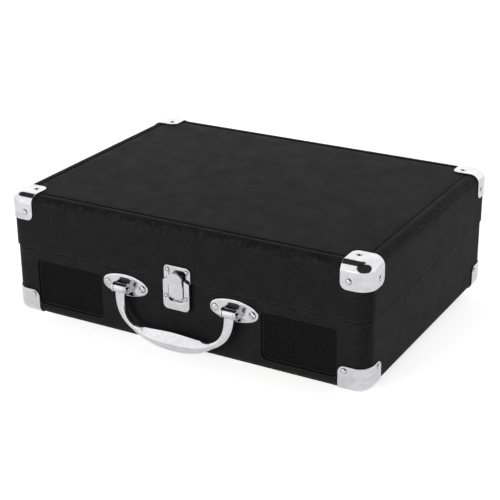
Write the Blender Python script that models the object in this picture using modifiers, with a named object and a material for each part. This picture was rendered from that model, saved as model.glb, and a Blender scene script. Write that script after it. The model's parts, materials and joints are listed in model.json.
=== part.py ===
"""Suitcase record player, closed, with its lid, latch, handle, deck, tonearm and works.

X runs along the front from left to right, Y from the front to the hinges, Z up. The ground is z = 0.
Positions below are in the case's own frame, whose origin is the middle of its footprint. The root
empty then moves the case along Y so that the whole object is centred on the world origin.
"""

import math

import bmesh
import bpy
from mathutils import Vector


def mm(*values):
    """Millimetres to metres: one number, or a vector of two or three."""
    metres = [value * 0.001 for value in values]
    return metres[0] if len(metres) == 1 else Vector(metres)


# Case
CASE_W = mm(350)
CASE_D = mm(259)
FOOT_H = mm(6)
SEAM_Z = mm(69.3)
LID_TOP = mm(118.8)
SEAM_GAP = mm(0.8)
LID_OVERHANG = mm(0.8)
WALL = mm(6)
LEDGE = mm(3)
LID_CEILING = mm(5)
UPRIGHT_R = mm(12.5)
LID_EDGE_R = mm(8)
BASE_EDGE_R = mm(7)
GAP = mm(0.3)
BASE_FRONT = -CASE_D / 2
LID_FRONT = BASE_FRONT - LID_OVERHANG
BASE_REAR = CASE_D / 2
LID_REAR = BASE_REAR + LID_OVERHANG
RIM_Z = SEAM_Z - SEAM_GAP / 2
LID_RIM_Z = SEAM_Z + SEAM_GAP / 2

# Deck and floor
DECK_TOP = mm(61)
DECK_T = mm(2.5)
DECK_UNDER = DECK_TOP - DECK_T
FLOOR_T = mm(4)
FLOOR_TOP = FOOT_H + FLOOR_T

# Metal corners
CORNER_REACH = mm(25.5)
CORNER_REACH_Z = mm(22.5)
CORNER_T = mm(0.8)
CORNER_EAR_R = mm(6)

# Speakers
GRILLE_W = mm(70)
GRILLE_H = mm(43.5)
GRILLE_R = mm(5)
GRILLE_X = mm(114)
GRILLE_Z = mm(38.2)

# Handle
HANDLE_X = mm(54)
HANDLE_Z = mm(55)
HANDLE_OUT = mm(7.5)
HANDLE_DROP = mm(36.2)
GRIP_OUT = mm(13.2)
GRIP_HALF_H = mm(8.7)
GRIP_HALF_T = mm(5)
NECK_HALF_H = mm(2.8)
NECK_HALF_T = mm(2.6)
HANDLE_BOW_POWER = 3.0

# Latch
LATCH_HALF_W = mm(13)
LATCH_BOTTOM = mm(44.6)
LATCH_TOP = mm(84)
LATCH_ARM_TOP = mm(73.5)
STRIKE_T = mm(1.2)
LEVER_HALF_W = mm(7)
LEVER_PIVOT_Y = BASE_FRONT - mm(3.1)
LEVER_PIVOT_Z = mm(57)
LEVER_BOTTOM = mm(55.8)
LEVER_STEP = mm(68.5)
LEVER_TOP = mm(79)

# Hinges
HINGE_X = mm(95)
HINGE_Y = BASE_REAR + mm(3.9)
HINGE_R = mm(2.8)

# Lid stay: a parallelogram with the hinge, so both bars turn as the lid does
STAY_BASE = Vector((-mm(40), -mm(1.8)))
STAY_LID = Vector((-mm(40), mm(8.2)))
STAY_UPPER_X = -mm(166.9)
STAY_LOWER_X = -mm(165.2)
STAY_T = mm(1.4)
STAY_HALF_W = mm(4)

# Platter and drive
SPINDLE = mm(-26, 0, 0)
PLATTER_R = mm(95)
PLATTER_TOP = mm(73)
MAT_TOP = mm(74.5)
BELT_RING_R = mm(60)
PULLEY_R = mm(5.5)
PULLEY_FROM_SPINDLE = mm(76)
PULLEY_BEARING = math.radians(135)
BELT_T = mm(0.8)
BELT_LOW = mm(63.8)
BELT_HIGH = mm(68.3)

# Tonearm
ARM_PIVOT = mm(128, 78, 88)
ARM_R = mm(3.5)
ARM_END = mm(149.5)
HEAD_START = mm(151)
HEAD_OFFSET = math.radians(20)
STYLUS_ALONG = mm(33.6)
REST_FROM_PIVOT = mm(106)
CLIP_PIVOT_FROM_ARM = mm(9.5, 0, 2)
CLIP_OPEN = math.radians(165)
LIFTER_R = mm(34)
LIFTER_PIN_ANGLE = math.radians(-4)
CUE_PIVOT = mm(149.6, 72, 72)

# Controls on the deck
VOLUME_AT = mm(100, -100, 0)
SELECTOR_AT = mm(-146, -98, 0)
SPEED_AT = mm(62, 110, 0)
AUTO_STOP_AT = mm(92, 110, 0)
PHONES_AT = mm(-146, -68, 0)
ADAPTER_AT = mm(-132, 98, 0)
KNOB_TOP = mm(71.5)
STEM_LOW = mm(54)

# Rear terminals
TERMINAL_X = mm(60)
TERMINAL_Z = mm(33)
TERMINAL_HALF_W = mm(50)
TERMINAL_HALF_H = mm(17)
RCA_OUT = mm(10)
RCA_SPACING = mm(16)

# The handle stands further out in front than the sockets do behind
CASE_Y = (GRIP_OUT + GRIP_HALF_T - RCA_OUT) / 2

# Colours
VINYL = ("black_vinyl", (0.018, 0.018, 0.019), 0.5, 0.0)
CHROME = ("chrome", (0.86, 0.86, 0.87), 0.12, 1.0)
STEEL = ("steel", (0.55, 0.55, 0.56), 0.3, 1.0)
BLACK_PLASTIC = ("black_plastic", (0.02, 0.02, 0.022), 0.4, 0.0)
BLACK_MESH = ("black_mesh", (0.012, 0.012, 0.012), 0.6, 0.0)
RUBBER = ("black_rubber", (0.022, 0.022, 0.022), 0.8, 0.0)
SILVER_PLASTIC = ("silver_plastic", (0.6, 0.6, 0.61), 0.35, 0.4)
RED_PLASTIC = ("red_plastic", (0.6, 0.03, 0.03), 0.35, 0.0)
BOARD_GREEN = ("board_green", (0.03, 0.22, 0.09), 0.5, 0.0)
FIBREBOARD = ("fibreboard", (0.05, 0.045, 0.04), 0.8, 0.0)
FELT = ("felt", (0.03, 0.03, 0.032), 0.95, 0.0)

PARTS = "suitcase_record_player"
CUTTERS = "cutters"
MERGE = 1e-5

AXIS_TURN = {
    "Z": (0.0, 0.0, 0.0),
    "X": (0.0, math.pi / 2, 0.0),
    "FRONT": (math.pi / 2, 0.0, 0.0),
    "REAR": (-math.pi / 2, 0.0, 0.0),
}
SIDE_TURN = (math.pi / 2, 0.0, math.pi / 2)


# ---------------------------------------------------------------- scene


def clear_scene():
    for obj in list(bpy.data.objects):
        bpy.data.objects.remove(obj, do_unlink=True)
    for name in (PARTS, CUTTERS):
        bpy.context.scene.collection.children.link(bpy.data.collections.new(name))


def material(look):
    name, colour, roughness, metallic = look
    found = bpy.data.materials.get(name)
    if found is None:
        found = bpy.data.materials.new(name)
        found.use_nodes = True
        shader = found.node_tree.nodes["Principled BSDF"]
        shader.inputs["Base Color"].default_value = (*colour, 1.0)
        shader.inputs["Roughness"].default_value = roughness
        shader.inputs["Metallic"].default_value = metallic
        found.diffuse_color = (*colour, 1.0)
    return found


def pivot(name, at, parent=None):
    """An empty at a point of the case frame; what turns or slides about that point hangs from it."""
    empty = bpy.data.objects.new(name, None)
    bpy.data.collections[PARTS].objects.link(empty)
    empty["at"] = list(at)
    empty.parent = parent
    empty.location = Vector(at) - (Vector(parent["at"]) if parent else Vector())
    return empty


def settle(obj, look, group, at=(0, 0, 0), turn=(0, 0, 0)):
    """Gives a shape its place, parent and material. With no look it is a helper for a Boolean."""
    helper = look is None
    bpy.data.collections[CUTTERS if helper else PARTS].objects.link(obj)
    obj.parent = group
    obj.location = Vector(at) - Vector(group["at"])
    obj.rotation_euler = turn
    if helper:
        obj.hide_render = True
        obj.display_type = "WIRE"
    else:
        obj.data.materials.append(material(look))
    return obj


# ---------------------------------------------------------------- shapes


def from_bmesh(name, bm, look, group, at=(0, 0, 0), turn=(0, 0, 0), smooth=False):
    mesh = bpy.data.meshes.new(name)
    bm.to_mesh(mesh)
    bm.free()
    if smooth:
        mesh.shade_smooth()
        mesh.set_sharp_from_angle(angle=math.radians(35))
    return settle(bpy.data.objects.new(name, mesh), look, group, at, turn)


def edges_where(bm, test):
    return [edge for edge in bm.edges if test(edge.verts[0].co, edge.verts[1].co)]


def bevel(bm, edges, radius, segments):
    bmesh.ops.bevel(
        bm, geom=edges, offset=radius, segments=segments, profile=0.5, affect="EDGES"
    )


def block(name, size, look, group, at, turn=(0, 0, 0), upright_r=0, top_r=0, bottom_r=0, steps=4):
    """A box about its centre, with rounded upright edges and, if asked, rounded top and bottom rims."""
    bm = bmesh.new()
    bmesh.ops.create_cube(bm, size=1.0)
    bmesh.ops.scale(bm, vec=size, verts=bm.verts)
    half = size[2] / 2
    near = half * 1e-4
    if upright_r:
        upright = edges_where(bm, lambda a, b: abs(a.z - b.z) > near)
        bevel(bm, upright, upright_r, steps)
    for level, radius in ((half, top_r), (-half, bottom_r)):
        if radius:
            rim = edges_where(bm, lambda a, b: abs(a.z - level) < near and abs(b.z - level) < near)
            bevel(bm, rim, radius, max(2, steps - 2))
    return from_bmesh(name, bm, look, group, at, turn, smooth=bool(upright_r or top_r))


def drum(name, radius, depth, look, group, at, turn="Z", sides=16, top=None):
    """A cylinder, or a cone if top differs, about its centre."""
    bm = bmesh.new()
    bmesh.ops.create_cone(
        bm,
        cap_ends=True,
        segments=sides,
        radius1=radius,
        radius2=radius if top is None else top,
        depth=depth,
    )
    return from_bmesh(name, bm, look, group, at, AXIS_TURN[turn], smooth=True)


def turned(name, profile, look, group, at=(0, 0, 0), turn="Z", steps=32, closed=False):
    """A lathe shape. profile lists (radius, height) in millimetres, down the outer side."""
    bm = bmesh.new()
    points = [bm.verts.new(mm(radius, 0, height)) for radius, height in profile]
    pairs = list(zip(points, points[1:]))
    if closed:
        pairs.append((points[-1], points[0]))
    for pair in pairs:
        bm.edges.new(pair)
    obj = from_bmesh(name, bm, look, group, at, AXIS_TURN[turn])
    screw = obj.modifiers.new("Screw", "SCREW")
    screw.axis = "Z"
    screw.steps = steps
    screw.render_steps = steps
    screw.use_merge_vertices = True
    screw.merge_threshold = MERGE
    screw.use_smooth_shade = True
    return obj


def plate(name, loops, thickness, look, group, at, turn=(0, 0, 0)):
    """A flat plate from closed outlines, the first its edge and the others its holes."""
    curve = bpy.data.curves.new(name + "_outline", "CURVE")
    curve.dimensions = "2D"
    curve.fill_mode = "BOTH"
    curve.extrude = thickness / 2
    for loop in loops:
        spline = curve.splines.new("POLY")
        spline.points.add(len(loop) - 1)
        for point, (x, y) in zip(spline.points, loop):
            point.co = (x, y, 0, 1)
        spline.use_cyclic_u = True
    flat = bpy.data.objects.new(name + "_outline", curve)
    graph = bpy.context.evaluated_depsgraph_get()
    bpy.data.collections[CUTTERS].objects.link(flat)
    graph.update()
    mesh = bpy.data.meshes.new_from_object(flat.evaluated_get(graph))
    bpy.data.objects.remove(flat, do_unlink=True)
    mesh.name = name
    bm = bmesh.new()
    bm.from_mesh(mesh)
    bmesh.ops.remove_doubles(bm, verts=bm.verts, dist=MERGE)
    bmesh.ops.recalc_face_normals(bm, faces=bm.faces)
    bm.to_mesh(mesh)
    bm.free()
    return settle(bpy.data.objects.new(name, mesh), look, group, at, turn)


def loft(name, rings, look, group, at):
    """A skin over rings of equal count, with capped ends, for a section that changes on its way."""
    bm = bmesh.new()
    rows = [[bm.verts.new(point) for point in ring] for ring in rings]
    count = len(rows[0])
    for row, following in zip(rows, rows[1:]):
        for i in range(count):
            j = (i + 1) % count
            bm.faces.new((row[i], row[j], following[j], following[i]))
    bm.faces.new(rows[0])
    bm.faces.new(rows[-1])
    bmesh.ops.recalc_face_normals(bm, faces=bm.faces)
    return from_bmesh(name, bm, look, group, at, smooth=True)


def boolean(obj, operation, *others):
    for other in others:
        cut = obj.modifiers.new(operation.title(), "BOOLEAN")
        cut.operation = operation
        cut.object = other
    return obj


def cut(obj, *others):
    return boolean(obj, "DIFFERENCE", *others)


def join(obj, *others):
    return boolean(obj, "UNION", *others)


# ---------------------------------------------------------------- outlines


def arc(centre, radius, first, last, count):
    """Points on a circle from one angle to another, both included."""
    angles = [first + (last - first) * i / count for i in range(count + 1)]
    return [(centre[0] + radius * math.cos(a), centre[1] + radius * math.sin(a)) for a in angles]


def ring(radius, count=16, centre=(0, 0)):
    return arc(centre, radius, 0, math.tau * (count - 1) / count, count - 1)


def rounded_rectangle(low, high, radii, steps=4):
    """An outline from low to high; radii start at the lower left corner and go round to the left."""
    centres = (
        (low[0] + radii[0], low[1] + radii[0]),
        (high[0] - radii[1], low[1] + radii[1]),
        (high[0] - radii[2], high[1] - radii[2]),
        (low[0] + radii[3], high[1] - radii[3]),
    )
    outline = []
    for i, centre in enumerate(centres):
        first = math.pi + i * math.pi / 2
        if radii[i]:
            outline += arc(centre, radii[i], first, first + math.pi / 2, steps)
        else:
            outline.append(centre)
    return outline


def capsule(a, b, radius, steps=8):
    """The outline of a bar with round ends about two points."""
    heading = math.atan2(b[1] - a[1], b[0] - a[0])
    return arc(b, radius, heading - math.pi / 2, heading + math.pi / 2, steps) + arc(
        a, radius, heading + math.pi / 2, heading + 1.5 * math.pi, steps
    )


# ---------------------------------------------------------------- case


def case_solid(name, grow, low, high, top_r, bottom_r, look, group):
    """The case's outer form from one height to another, grown on all sides."""
    size = (CASE_W + 2 * grow, CASE_D + 2 * grow, high - low)
    at = (0, 0, (high + low) / 2)
    return block(
        name, size, look, group, at, upright_r=UPRIGHT_R + grow, top_r=top_r, bottom_r=bottom_r, steps=5
    )


def hollow(name, inset, low, high, group):
    size = (CASE_W - 2 * inset, CASE_D - 2 * inset, high - low)
    return block(name, size, None, group, (0, 0, (low + high) / 2), upright_r=UPRIGHT_R - WALL)


def grille_outline(margin):
    half_w = GRILLE_W / 2 - margin
    half_h = GRILLE_H / 2 - margin
    return rounded_rectangle((-half_w, -half_h), (half_w, half_h), [GRILLE_R - margin] * 4)


def base_case(root):
    below = FOOT_H - mm(2)
    above = SEAM_Z + mm(2)
    ledge_z = DECK_UNDER - GAP
    shell = case_solid("base_shell", 0, FOOT_H, RIM_Z, 0, BASE_EDGE_R, VINYL, root)
    cut(
        shell,
        hollow("floor_rabbet", WALL, below, FLOOR_TOP + GAP, root),
        hollow("works_space", WALL + LEDGE, below, ledge_z + mm(1), root),
        hollow("deck_space", WALL, ledge_z, above, root),
    )
    through = mm(30)
    for side in (-1, 1):
        at = (side * GRILLE_X, BASE_FRONT, GRILLE_Z)
        name = f"grille_window_{side}"
        window = plate(name, [grille_outline(0)], through, None, root, at, AXIS_TURN["FRONT"])
        cut(shell, window)
    size = (2 * TERMINAL_HALF_W - mm(8), through, 2 * TERMINAL_HALF_H - mm(8))
    cut(shell, block("terminal_window", size, None, root, (TERMINAL_X, BASE_REAR, TERMINAL_Z)))

    floor = (CASE_W - 2 * (WALL + GAP), CASE_D - 2 * (WALL + GAP), FLOOR_T)
    floor_z = FOOT_H + FLOOR_T / 2
    block("bottom_panel", floor, FIBREBOARD, root, (0, 0, floor_z), upright_r=UPRIGHT_R - WALL)


def lid_case(lid):
    shell = case_solid("lid_shell", LID_OVERHANG, LID_RIM_Z, LID_TOP, LID_EDGE_R, 0, VINYL, lid)
    inset = WALL - LID_OVERHANG
    cut(shell, hollow("lid_space", inset, LID_RIM_Z - mm(2), LID_TOP - LID_CEILING, lid))


def metal_corners(root, lid):
    """Pressed corners: the shell between two grown copies of the case, kept inside an eared box."""
    halves = (
        ("base", root, 0.0, FOOT_H, RIM_Z, 0, BASE_EDGE_R, -1),
        ("lid", lid, LID_OVERHANG, LID_RIM_Z, LID_TOP, LID_EDGE_R, 0, 1),
    )
    for half, group, overhang, low, high, top_r, bottom_r, up in halves:
        forms = []
        for layer, off in (("outer", GAP + CORNER_T), ("inner", GAP)):
            # only the end with the corners grows; the other end stops well short of them
            low_z = low - off if up < 0 else low
            high_z = high + off if up > 0 else high
            top = top_r + off if top_r else 0
            bottom = bottom_r + off if bottom_r else 0
            name = f"{half}_corner_{layer}"
            forms.append(case_solid(name, overhang + off, low_z, high_z, top, bottom, None, group))
        end = high if up > 0 else low
        beyond = mm(6)
        for x_side, x_name in ((-1, "left"), (1, "right")):
            for y_side, y_name in ((-1, "front"), (1, "rear")):
                size = Vector((CORNER_REACH, CORNER_REACH, CORNER_REACH_Z)) + Vector((beyond,) * 3)
                edge = Vector((CASE_W / 2 + overhang, CASE_D / 2 + overhang, 0))
                middle = (
                    x_side * (edge.x + beyond - size.x / 2),
                    y_side * (edge.y + beyond - size.y / 2),
                    end + up * (beyond - size.z / 2),
                )
                name = f"corner_{half}_{y_name}_{x_name}"
                corner = eared_box(name, size, (x_side, y_side, up), group, middle)
                boolean(corner, "INTERSECT", forms[0])
                cut(corner, forms[1])


def eared_box(name, size, outward, group, at):
    """A box whose three edges furthest from the case's corner are rounded, which rounds the ears."""
    bm = bmesh.new()
    bmesh.ops.create_cube(bm, size=1.0)
    bmesh.ops.scale(bm, vec=size, verts=bm.verts)

    def inner_edge(a, b):
        inward = [axis for axis in range(3) if a[axis] * outward[axis] < 0 and b[axis] * outward[axis] < 0]
        return len(inward) == 2

    bevel(bm, edges_where(bm, inner_edge), CORNER_EAR_R, 3)
    return from_bmesh(name, bm, CHROME, group, at, smooth=True)


def feet(root):
    profile = [(0, 3.2), (3.4, 3.2), (3.4, 0), (9.2, 0), (10, 0.8), (11, 5.7), (0, 5.7)]
    profile.reverse()
    for x_side, x_name in ((-1, "left"), (1, "right")):
        for y_side, y_name in ((-1, "front"), (1, "rear")):
            at = mm(x_side * 140, y_side * 98, 0)
            turned(f"foot_{y_name}_{x_name}", profile, RUBBER, root, at, steps=16)


# ---------------------------------------------------------------- lid furniture


def hinges(root, lid):
    """Two butt hinges on the rear faces: the base leaf holds the pin, the lid leaf turns on it."""
    leaf_half_w = mm(16)
    leaf_t = mm(1.2)
    knuckle_half = mm(5)
    pin_r = mm(1.2)
    axis = Vector((0, HINGE_Y, SEAM_Z))
    for side, name in ((-1, "left"), (1, "right")):
        x = side * HINGE_X
        for half, group, face, low, high in (
            ("base", root, BASE_REAR, mm(53), mm(69.3)),
            ("lid", lid, LID_REAR, mm(69.3), mm(85.6)),
        ):
            middle = (x, face + GAP + leaf_t / 2, (low + high) / 2)
            size = (2 * leaf_half_w, leaf_t, high - low)
            leaf = block(f"hinge_{half}_leaf_{name}", size, STEEL, group, middle)
            notch_z = mm(3.6)
            if half == "base":
                notch = (2 * (knuckle_half + GAP), mm(8), 2 * notch_z)
                cut(leaf, block(f"base_notch_{name}", notch, None, group, (x, face, SEAM_Z)))
                for end in (-1, 1):
                    length = leaf_half_w - knuckle_half - GAP
                    at = (x + end * (knuckle_half + GAP + length / 2), axis.y, axis.z)
                    web = (length, axis.y - face - GAP, mm(1.6))
                    web_at = (at[0], face + GAP + web[1] / 2, axis.z - mm(0.9))
                    join(
                        leaf,
                        drum(f"base_knuckle_{name}_{end}", HINGE_R, length, None, group, at, "X", 12),
                        block(f"base_web_{name}_{end}", web, None, group, web_at),
                    )
                at = (x, axis.y, axis.z)
                pin_long = 2 * leaf_half_w - mm(2)
                join(leaf, drum(f"hinge_pin_{name}", pin_r, pin_long, None, group, at, "X", 12))
            else:
                for end in (-1, 1):
                    notch = (leaf_half_w, mm(8), 2 * notch_z)
                    at = (x + end * (knuckle_half + leaf_half_w / 2), face, SEAM_Z)
                    cut(leaf, block(f"lid_notch_{name}_{end}", notch, None, group, at))
                at = (x, axis.y, axis.z)
                web = (2 * knuckle_half, axis.y - face - GAP, mm(1.6))
                web_at = (x, face + GAP + web[1] / 2, axis.z + mm(0.9))
                join(
                    leaf,
                    drum(f"lid_knuckle_{name}", HINGE_R, 2 * knuckle_half, None, group, at, "X", 12),
                    block(f"lid_web_{name}", web, None, group, web_at),
                )
                cut(leaf, drum(f"lid_knuckle_bore_{name}", mm(1.7), mm(20), None, group, at, "X", 12))


def latch(root, lid, lever_pivot):
    """A flip lever in a tray on the base that hooks over a staple on the lid's strike plate."""
    front = AXIS_TURN["FRONT"]
    tray_out = mm(4.8)
    floor_out = mm(1.3)
    pocket_half_w = LEVER_HALF_W + mm(0.6)
    shoulder = LATCH_ARM_TOP - mm(3)
    tray_loop = rounded_rectangle(
        (-LATCH_HALF_W, LATCH_BOTTOM), (LATCH_HALF_W, LATCH_ARM_TOP), (mm(5), mm(5), 0, 0)
    )
    # the top corners are cut off slantwise
    tray_loop[-2:] = [
        (LATCH_HALF_W, shoulder), (pocket_half_w, LATCH_ARM_TOP),
        (-pocket_half_w, LATCH_ARM_TOP), (-LATCH_HALF_W, shoulder),
    ]
    at = (0, BASE_FRONT - (GAP + tray_out) / 2, 0)
    tray = plate("latch_plate", [tray_loop], tray_out - GAP, CHROME, root, at, front)
    pocket_low = mm(52.5)
    pocket_loop = rounded_rectangle(
        (-pocket_half_w, pocket_low), (pocket_half_w, LATCH_ARM_TOP + mm(3)), (mm(3.5), mm(3.5), 0, 0)
    )
    depth = mm(8)
    at = (0, BASE_FRONT - floor_out - depth / 2, 0)
    # above the seam the arms stand in front of the strike plate, which passes behind them
    behind_out = LID_OVERHANG + GAP + STRIKE_T + mm(0.4)
    behind_low = SEAM_Z - mm(1.2)
    behind = (3 * LATCH_HALF_W, 2 * behind_out, 2 * (LATCH_TOP - behind_low))
    cut(
        tray,
        plate("latch_pocket", [pocket_loop], depth, None, root, at, front),
        block("strike_room", behind, None, root, (0, BASE_FRONT, LATCH_TOP)),
        drum("lever_bore", mm(1.2), mm(20), None, root, (0, LEVER_PIVOT_Y, LEVER_PIVOT_Z), "X", 12),
    )

    strike_loop = rounded_rectangle(
        (-LATCH_HALF_W, LID_RIM_Z), (LATCH_HALF_W, LATCH_TOP), (0, 0, mm(4), mm(4))
    )
    at = (0, LID_FRONT - GAP - STRIKE_T / 2, 0)
    strike = plate("latch_strike", [strike_loop], STRIKE_T, CHROME, lid, at, front)
    staple = mm(8, 2.2, 1.5)
    staple_at = (0, LID_FRONT - GAP - STRIKE_T + mm(0.5) - staple.y / 2, mm(72.2))
    join(strike, block("staple", staple, None, lid, staple_at))

    # the lever's upper half stands further out than its lower half, for a finger
    lower_t = mm(1.6)
    lower_back = mm(3.4)
    upper_t = mm(2.2)
    upper_back = mm(4.6)
    lower_shape = rounded_rectangle(
        (-LEVER_HALF_W, LEVER_BOTTOM), (LEVER_HALF_W, LEVER_STEP), (mm(3), mm(3), 0, 0), steps=3
    )
    upper_shape = rounded_rectangle(
        (-LEVER_HALF_W, LEVER_STEP - mm(1.2)), (LEVER_HALF_W, LEVER_TOP), (0, 0, mm(5.5), mm(5.5)), steps=5
    )
    at = (0, BASE_FRONT - lower_back - lower_t / 2, 0)
    lever = plate("latch_lever", [lower_shape], lower_t, STEEL, lever_pivot, at, front)
    at = (0, BASE_FRONT - upper_back - upper_t / 2, 0)
    hub_at = (0, LEVER_PIVOT_Y, LEVER_PIVOT_Z)
    nib = mm(7, 2.4, 1.4)
    nib_at = (0, BASE_FRONT - upper_back - mm(0.4) + nib.y / 2, mm(74.1))
    join(
        lever,
        plate("lever_upper", [upper_shape], upper_t, None, lever_pivot, at, front),
        drum("lever_hub", mm(1.5), 2 * LEVER_HALF_W - mm(1), None, lever_pivot, hub_at, "X", 12),
        drum("lever_pin", mm(0.9), mm(19), None, lever_pivot, hub_at, "X", 12),
        block("lever_nib", nib, None, lever_pivot, nib_at),
    )


def lid_stay(root, lid, lower, upper):
    """Two riveted bars on the left wall. The rivet between them is on the lower bar."""
    hinge = Vector((HINGE_Y, SEAM_Z))
    base_at = hinge + STAY_BASE
    lid_at = hinge + STAY_LID
    elbow = hinge + STAY_BASE + STAY_LID
    stud_r = mm(2)
    bore_r = mm(2.4)
    lower_outline = [capsule(base_at, elbow, STAY_HALF_W), ring(bore_r, 12, base_at)]
    at = (STAY_LOWER_X, 0, 0)
    lower_bar = plate("stay_lower_bar", lower_outline, STAY_T, STEEL, lower, at, SIDE_TURN)
    rivet_length = mm(2.9)
    rivet_at = (STAY_LOWER_X - STAY_T / 2 - rivet_length / 2 + mm(0.6), elbow.x, elbow.y)
    join(lower_bar, drum("elbow_rivet", mm(1.6), rivet_length, None, lower, rivet_at, "X", 12))
    upper_outline = [
        capsule(lid_at, elbow, STAY_HALF_W), ring(bore_r, 12, lid_at), ring(mm(2), 12, elbow),
    ]
    at = (STAY_UPPER_X, 0, 0)
    plate("stay_upper_bar", upper_outline, STAY_T, STEEL, upper, at, SIDE_TURN)
    brackets = (
        ("stay_base_bracket", root, -CASE_W / 2 + WALL, base_at, STAY_LOWER_X, mm(62, 68.4)),
        ("stay_lid_bracket", lid, -CASE_W / 2 - LID_OVERHANG + WALL, lid_at, STAY_UPPER_X, mm(72, 84)),
    )
    for name, group, wall_x, end, bar_x, span in brackets:
        thickness = mm(0.8)
        height = span.y - span.x
        at = (wall_x + GAP + thickness / 2, end.x, (span.x + span.y) / 2)
        bracket = block(name, (thickness, mm(18), height), STEEL, group, at)
        tip = bar_x + STAY_T / 2 + mm(0.4)
        length = tip - wall_x - GAP - mm(0.3)
        stud_at = (tip - length / 2, end.x, end.y)
        join(bracket, drum(name + "_stud", stud_r, length, None, group, stud_at, "X", 12))


# ---------------------------------------------------------------- handle


def handle_plates(root):
    """An oval plate with two ears at each end of the handle; the handle's pin turns in the ears."""
    half_w = mm(23)
    half_h = mm(10)
    thickness = mm(1.2)
    ear_x = mm(6.4)
    ear_t = mm(1.5)
    ear_half_z = mm(4.6)
    pin_y = BASE_FRONT - HANDLE_OUT
    for side, name in ((-1, "left"), (1, "right")):
        x = side * HANDLE_X
        count = 28
        oval = []
        for i in range(count):
            angle = math.tau * i / count
            c, s = math.cos(angle), math.sin(angle)
            oval.append((half_w * math.copysign(abs(c) ** 1.1, c), half_h * math.copysign(abs(s) ** 0.8, s)))
        at = (x, BASE_FRONT - GAP - thickness / 2, HANDLE_Z)
        base = plate(f"handle_plate_{name}", [oval], thickness, CHROME, root, at, AXIS_TURN["FRONT"])
        for end in (-1, 1):
            tab = (ear_t, BASE_FRONT - GAP - pin_y, 2 * ear_half_z)
            tab_at = (x + end * ear_x, (BASE_FRONT - GAP + pin_y) / 2, HANDLE_Z)
            round_at = (x + end * ear_x, pin_y, HANDLE_Z)
            join(
                base,
                block(f"ear_{name}_{end}", tab, None, root, tab_at),
                drum(f"ear_end_{name}_{end}", ear_half_z, ear_t, None, root, round_at, "X", 16),
            )
        cut(base, drum(f"ear_bore_{name}", mm(2.2), mm(24), None, root, (x, pin_y, HANDLE_Z), "X", 12))


def handle_section(share):
    """Half width across the bow and half thickness along Y, at a share of the way round it."""
    from_middle = abs(2 * share - 1)
    leaf = max(0.0, 1 - (from_middle / 0.5) ** 2)
    flare = min(1.0, max(0.0, (from_middle - 0.5) / 0.4))
    across = NECK_HALF_H + (GRIP_HALF_H - NECK_HALF_H) * leaf + mm(1.8) * flare
    deep = NECK_HALF_T + (GRIP_HALF_T - NECK_HALF_T) * leaf
    return across, deep


def handle_bow(stations, sides):
    """Rings along a superellipse that hangs from the two pins."""
    rings = []
    for i in range(stations + 1):
        share = i / stations
        angle = math.pi * share
        power = 2 / HANDLE_BOW_POWER
        c, s = math.cos(angle), math.sin(angle)
        x = -HANDLE_X * math.copysign(abs(c) ** power, c)
        drop = HANDLE_DROP * s**power if s > 0 else 0.0
        y = -(GRIP_OUT - HANDLE_OUT) * (drop / HANDLE_DROP) ** 1.5
        rings.append((share, Vector((x, y, -drop))))
    middles = [point for _, point in rings]
    sections = []
    for i, (share, point) in enumerate(rings):
        ahead = middles[min(i + 1, stations)] - middles[max(i - 1, 0)]
        ahead.y = 0
        ahead.normalize()
        if i in (0, stations):
            ahead = Vector((0, 0, -1 if i == 0 else 1))
        across = Vector((ahead.z, 0, -ahead.x))
        half, deep = handle_section(share)
        section = []
        for k in range(sides):
            turn = math.tau * k / sides
            section.append(point + across * (half * math.cos(turn)) + Vector((0, deep * math.sin(turn), 0)))
        sections.append(section)
    return sections


def carrying_handle(swing):
    at = Vector(swing["at"])
    handle = loft("handle", handle_bow(28, 10), CHROME, swing, at)
    for end in (-1, 1):
        eye_at = at + Vector((end * HANDLE_X, 0, 0))
        join(
            handle,
            drum(f"handle_eye_{end}", mm(4.3), mm(10.4), None, swing, eye_at, "X", 16),
            drum(f"handle_pin_{end}", mm(1.8), mm(17), None, swing, eye_at, "X", 12),
        )


# ---------------------------------------------------------------- works


def speakers(root):
    driver = [
        (0, -3.5), (5, -5.5), (16, -1.2), (17.6, 0), (20, 0), (20, -2.5),
        (17, -3.2), (12, -12), (14, -12.6), (14, -20), (0, -20),
    ]
    for side, name in ((-1, "left"), (1, "right")):
        x = side * GRILLE_X
        thickness = mm(1.4)
        at = (x, BASE_FRONT + mm(1.2) + thickness / 2, GRILLE_Z)
        outline = grille_outline(GAP)
        plate(f"speaker_grille_{name}", [outline], thickness, BLACK_MESH, root, at, AXIS_TURN["FRONT"])
        at = (x, BASE_FRONT + WALL + LEDGE + GAP, mm(36.5))
        turned(f"speaker_driver_{name}", driver, BLACK_PLASTIC, root, at, "FRONT", steps=16)


def pulley_place():
    reach = PULLEY_FROM_SPINDLE
    return SPINDLE + Vector((reach * math.cos(PULLEY_BEARING), reach * math.sin(PULLEY_BEARING), 0))


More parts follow.
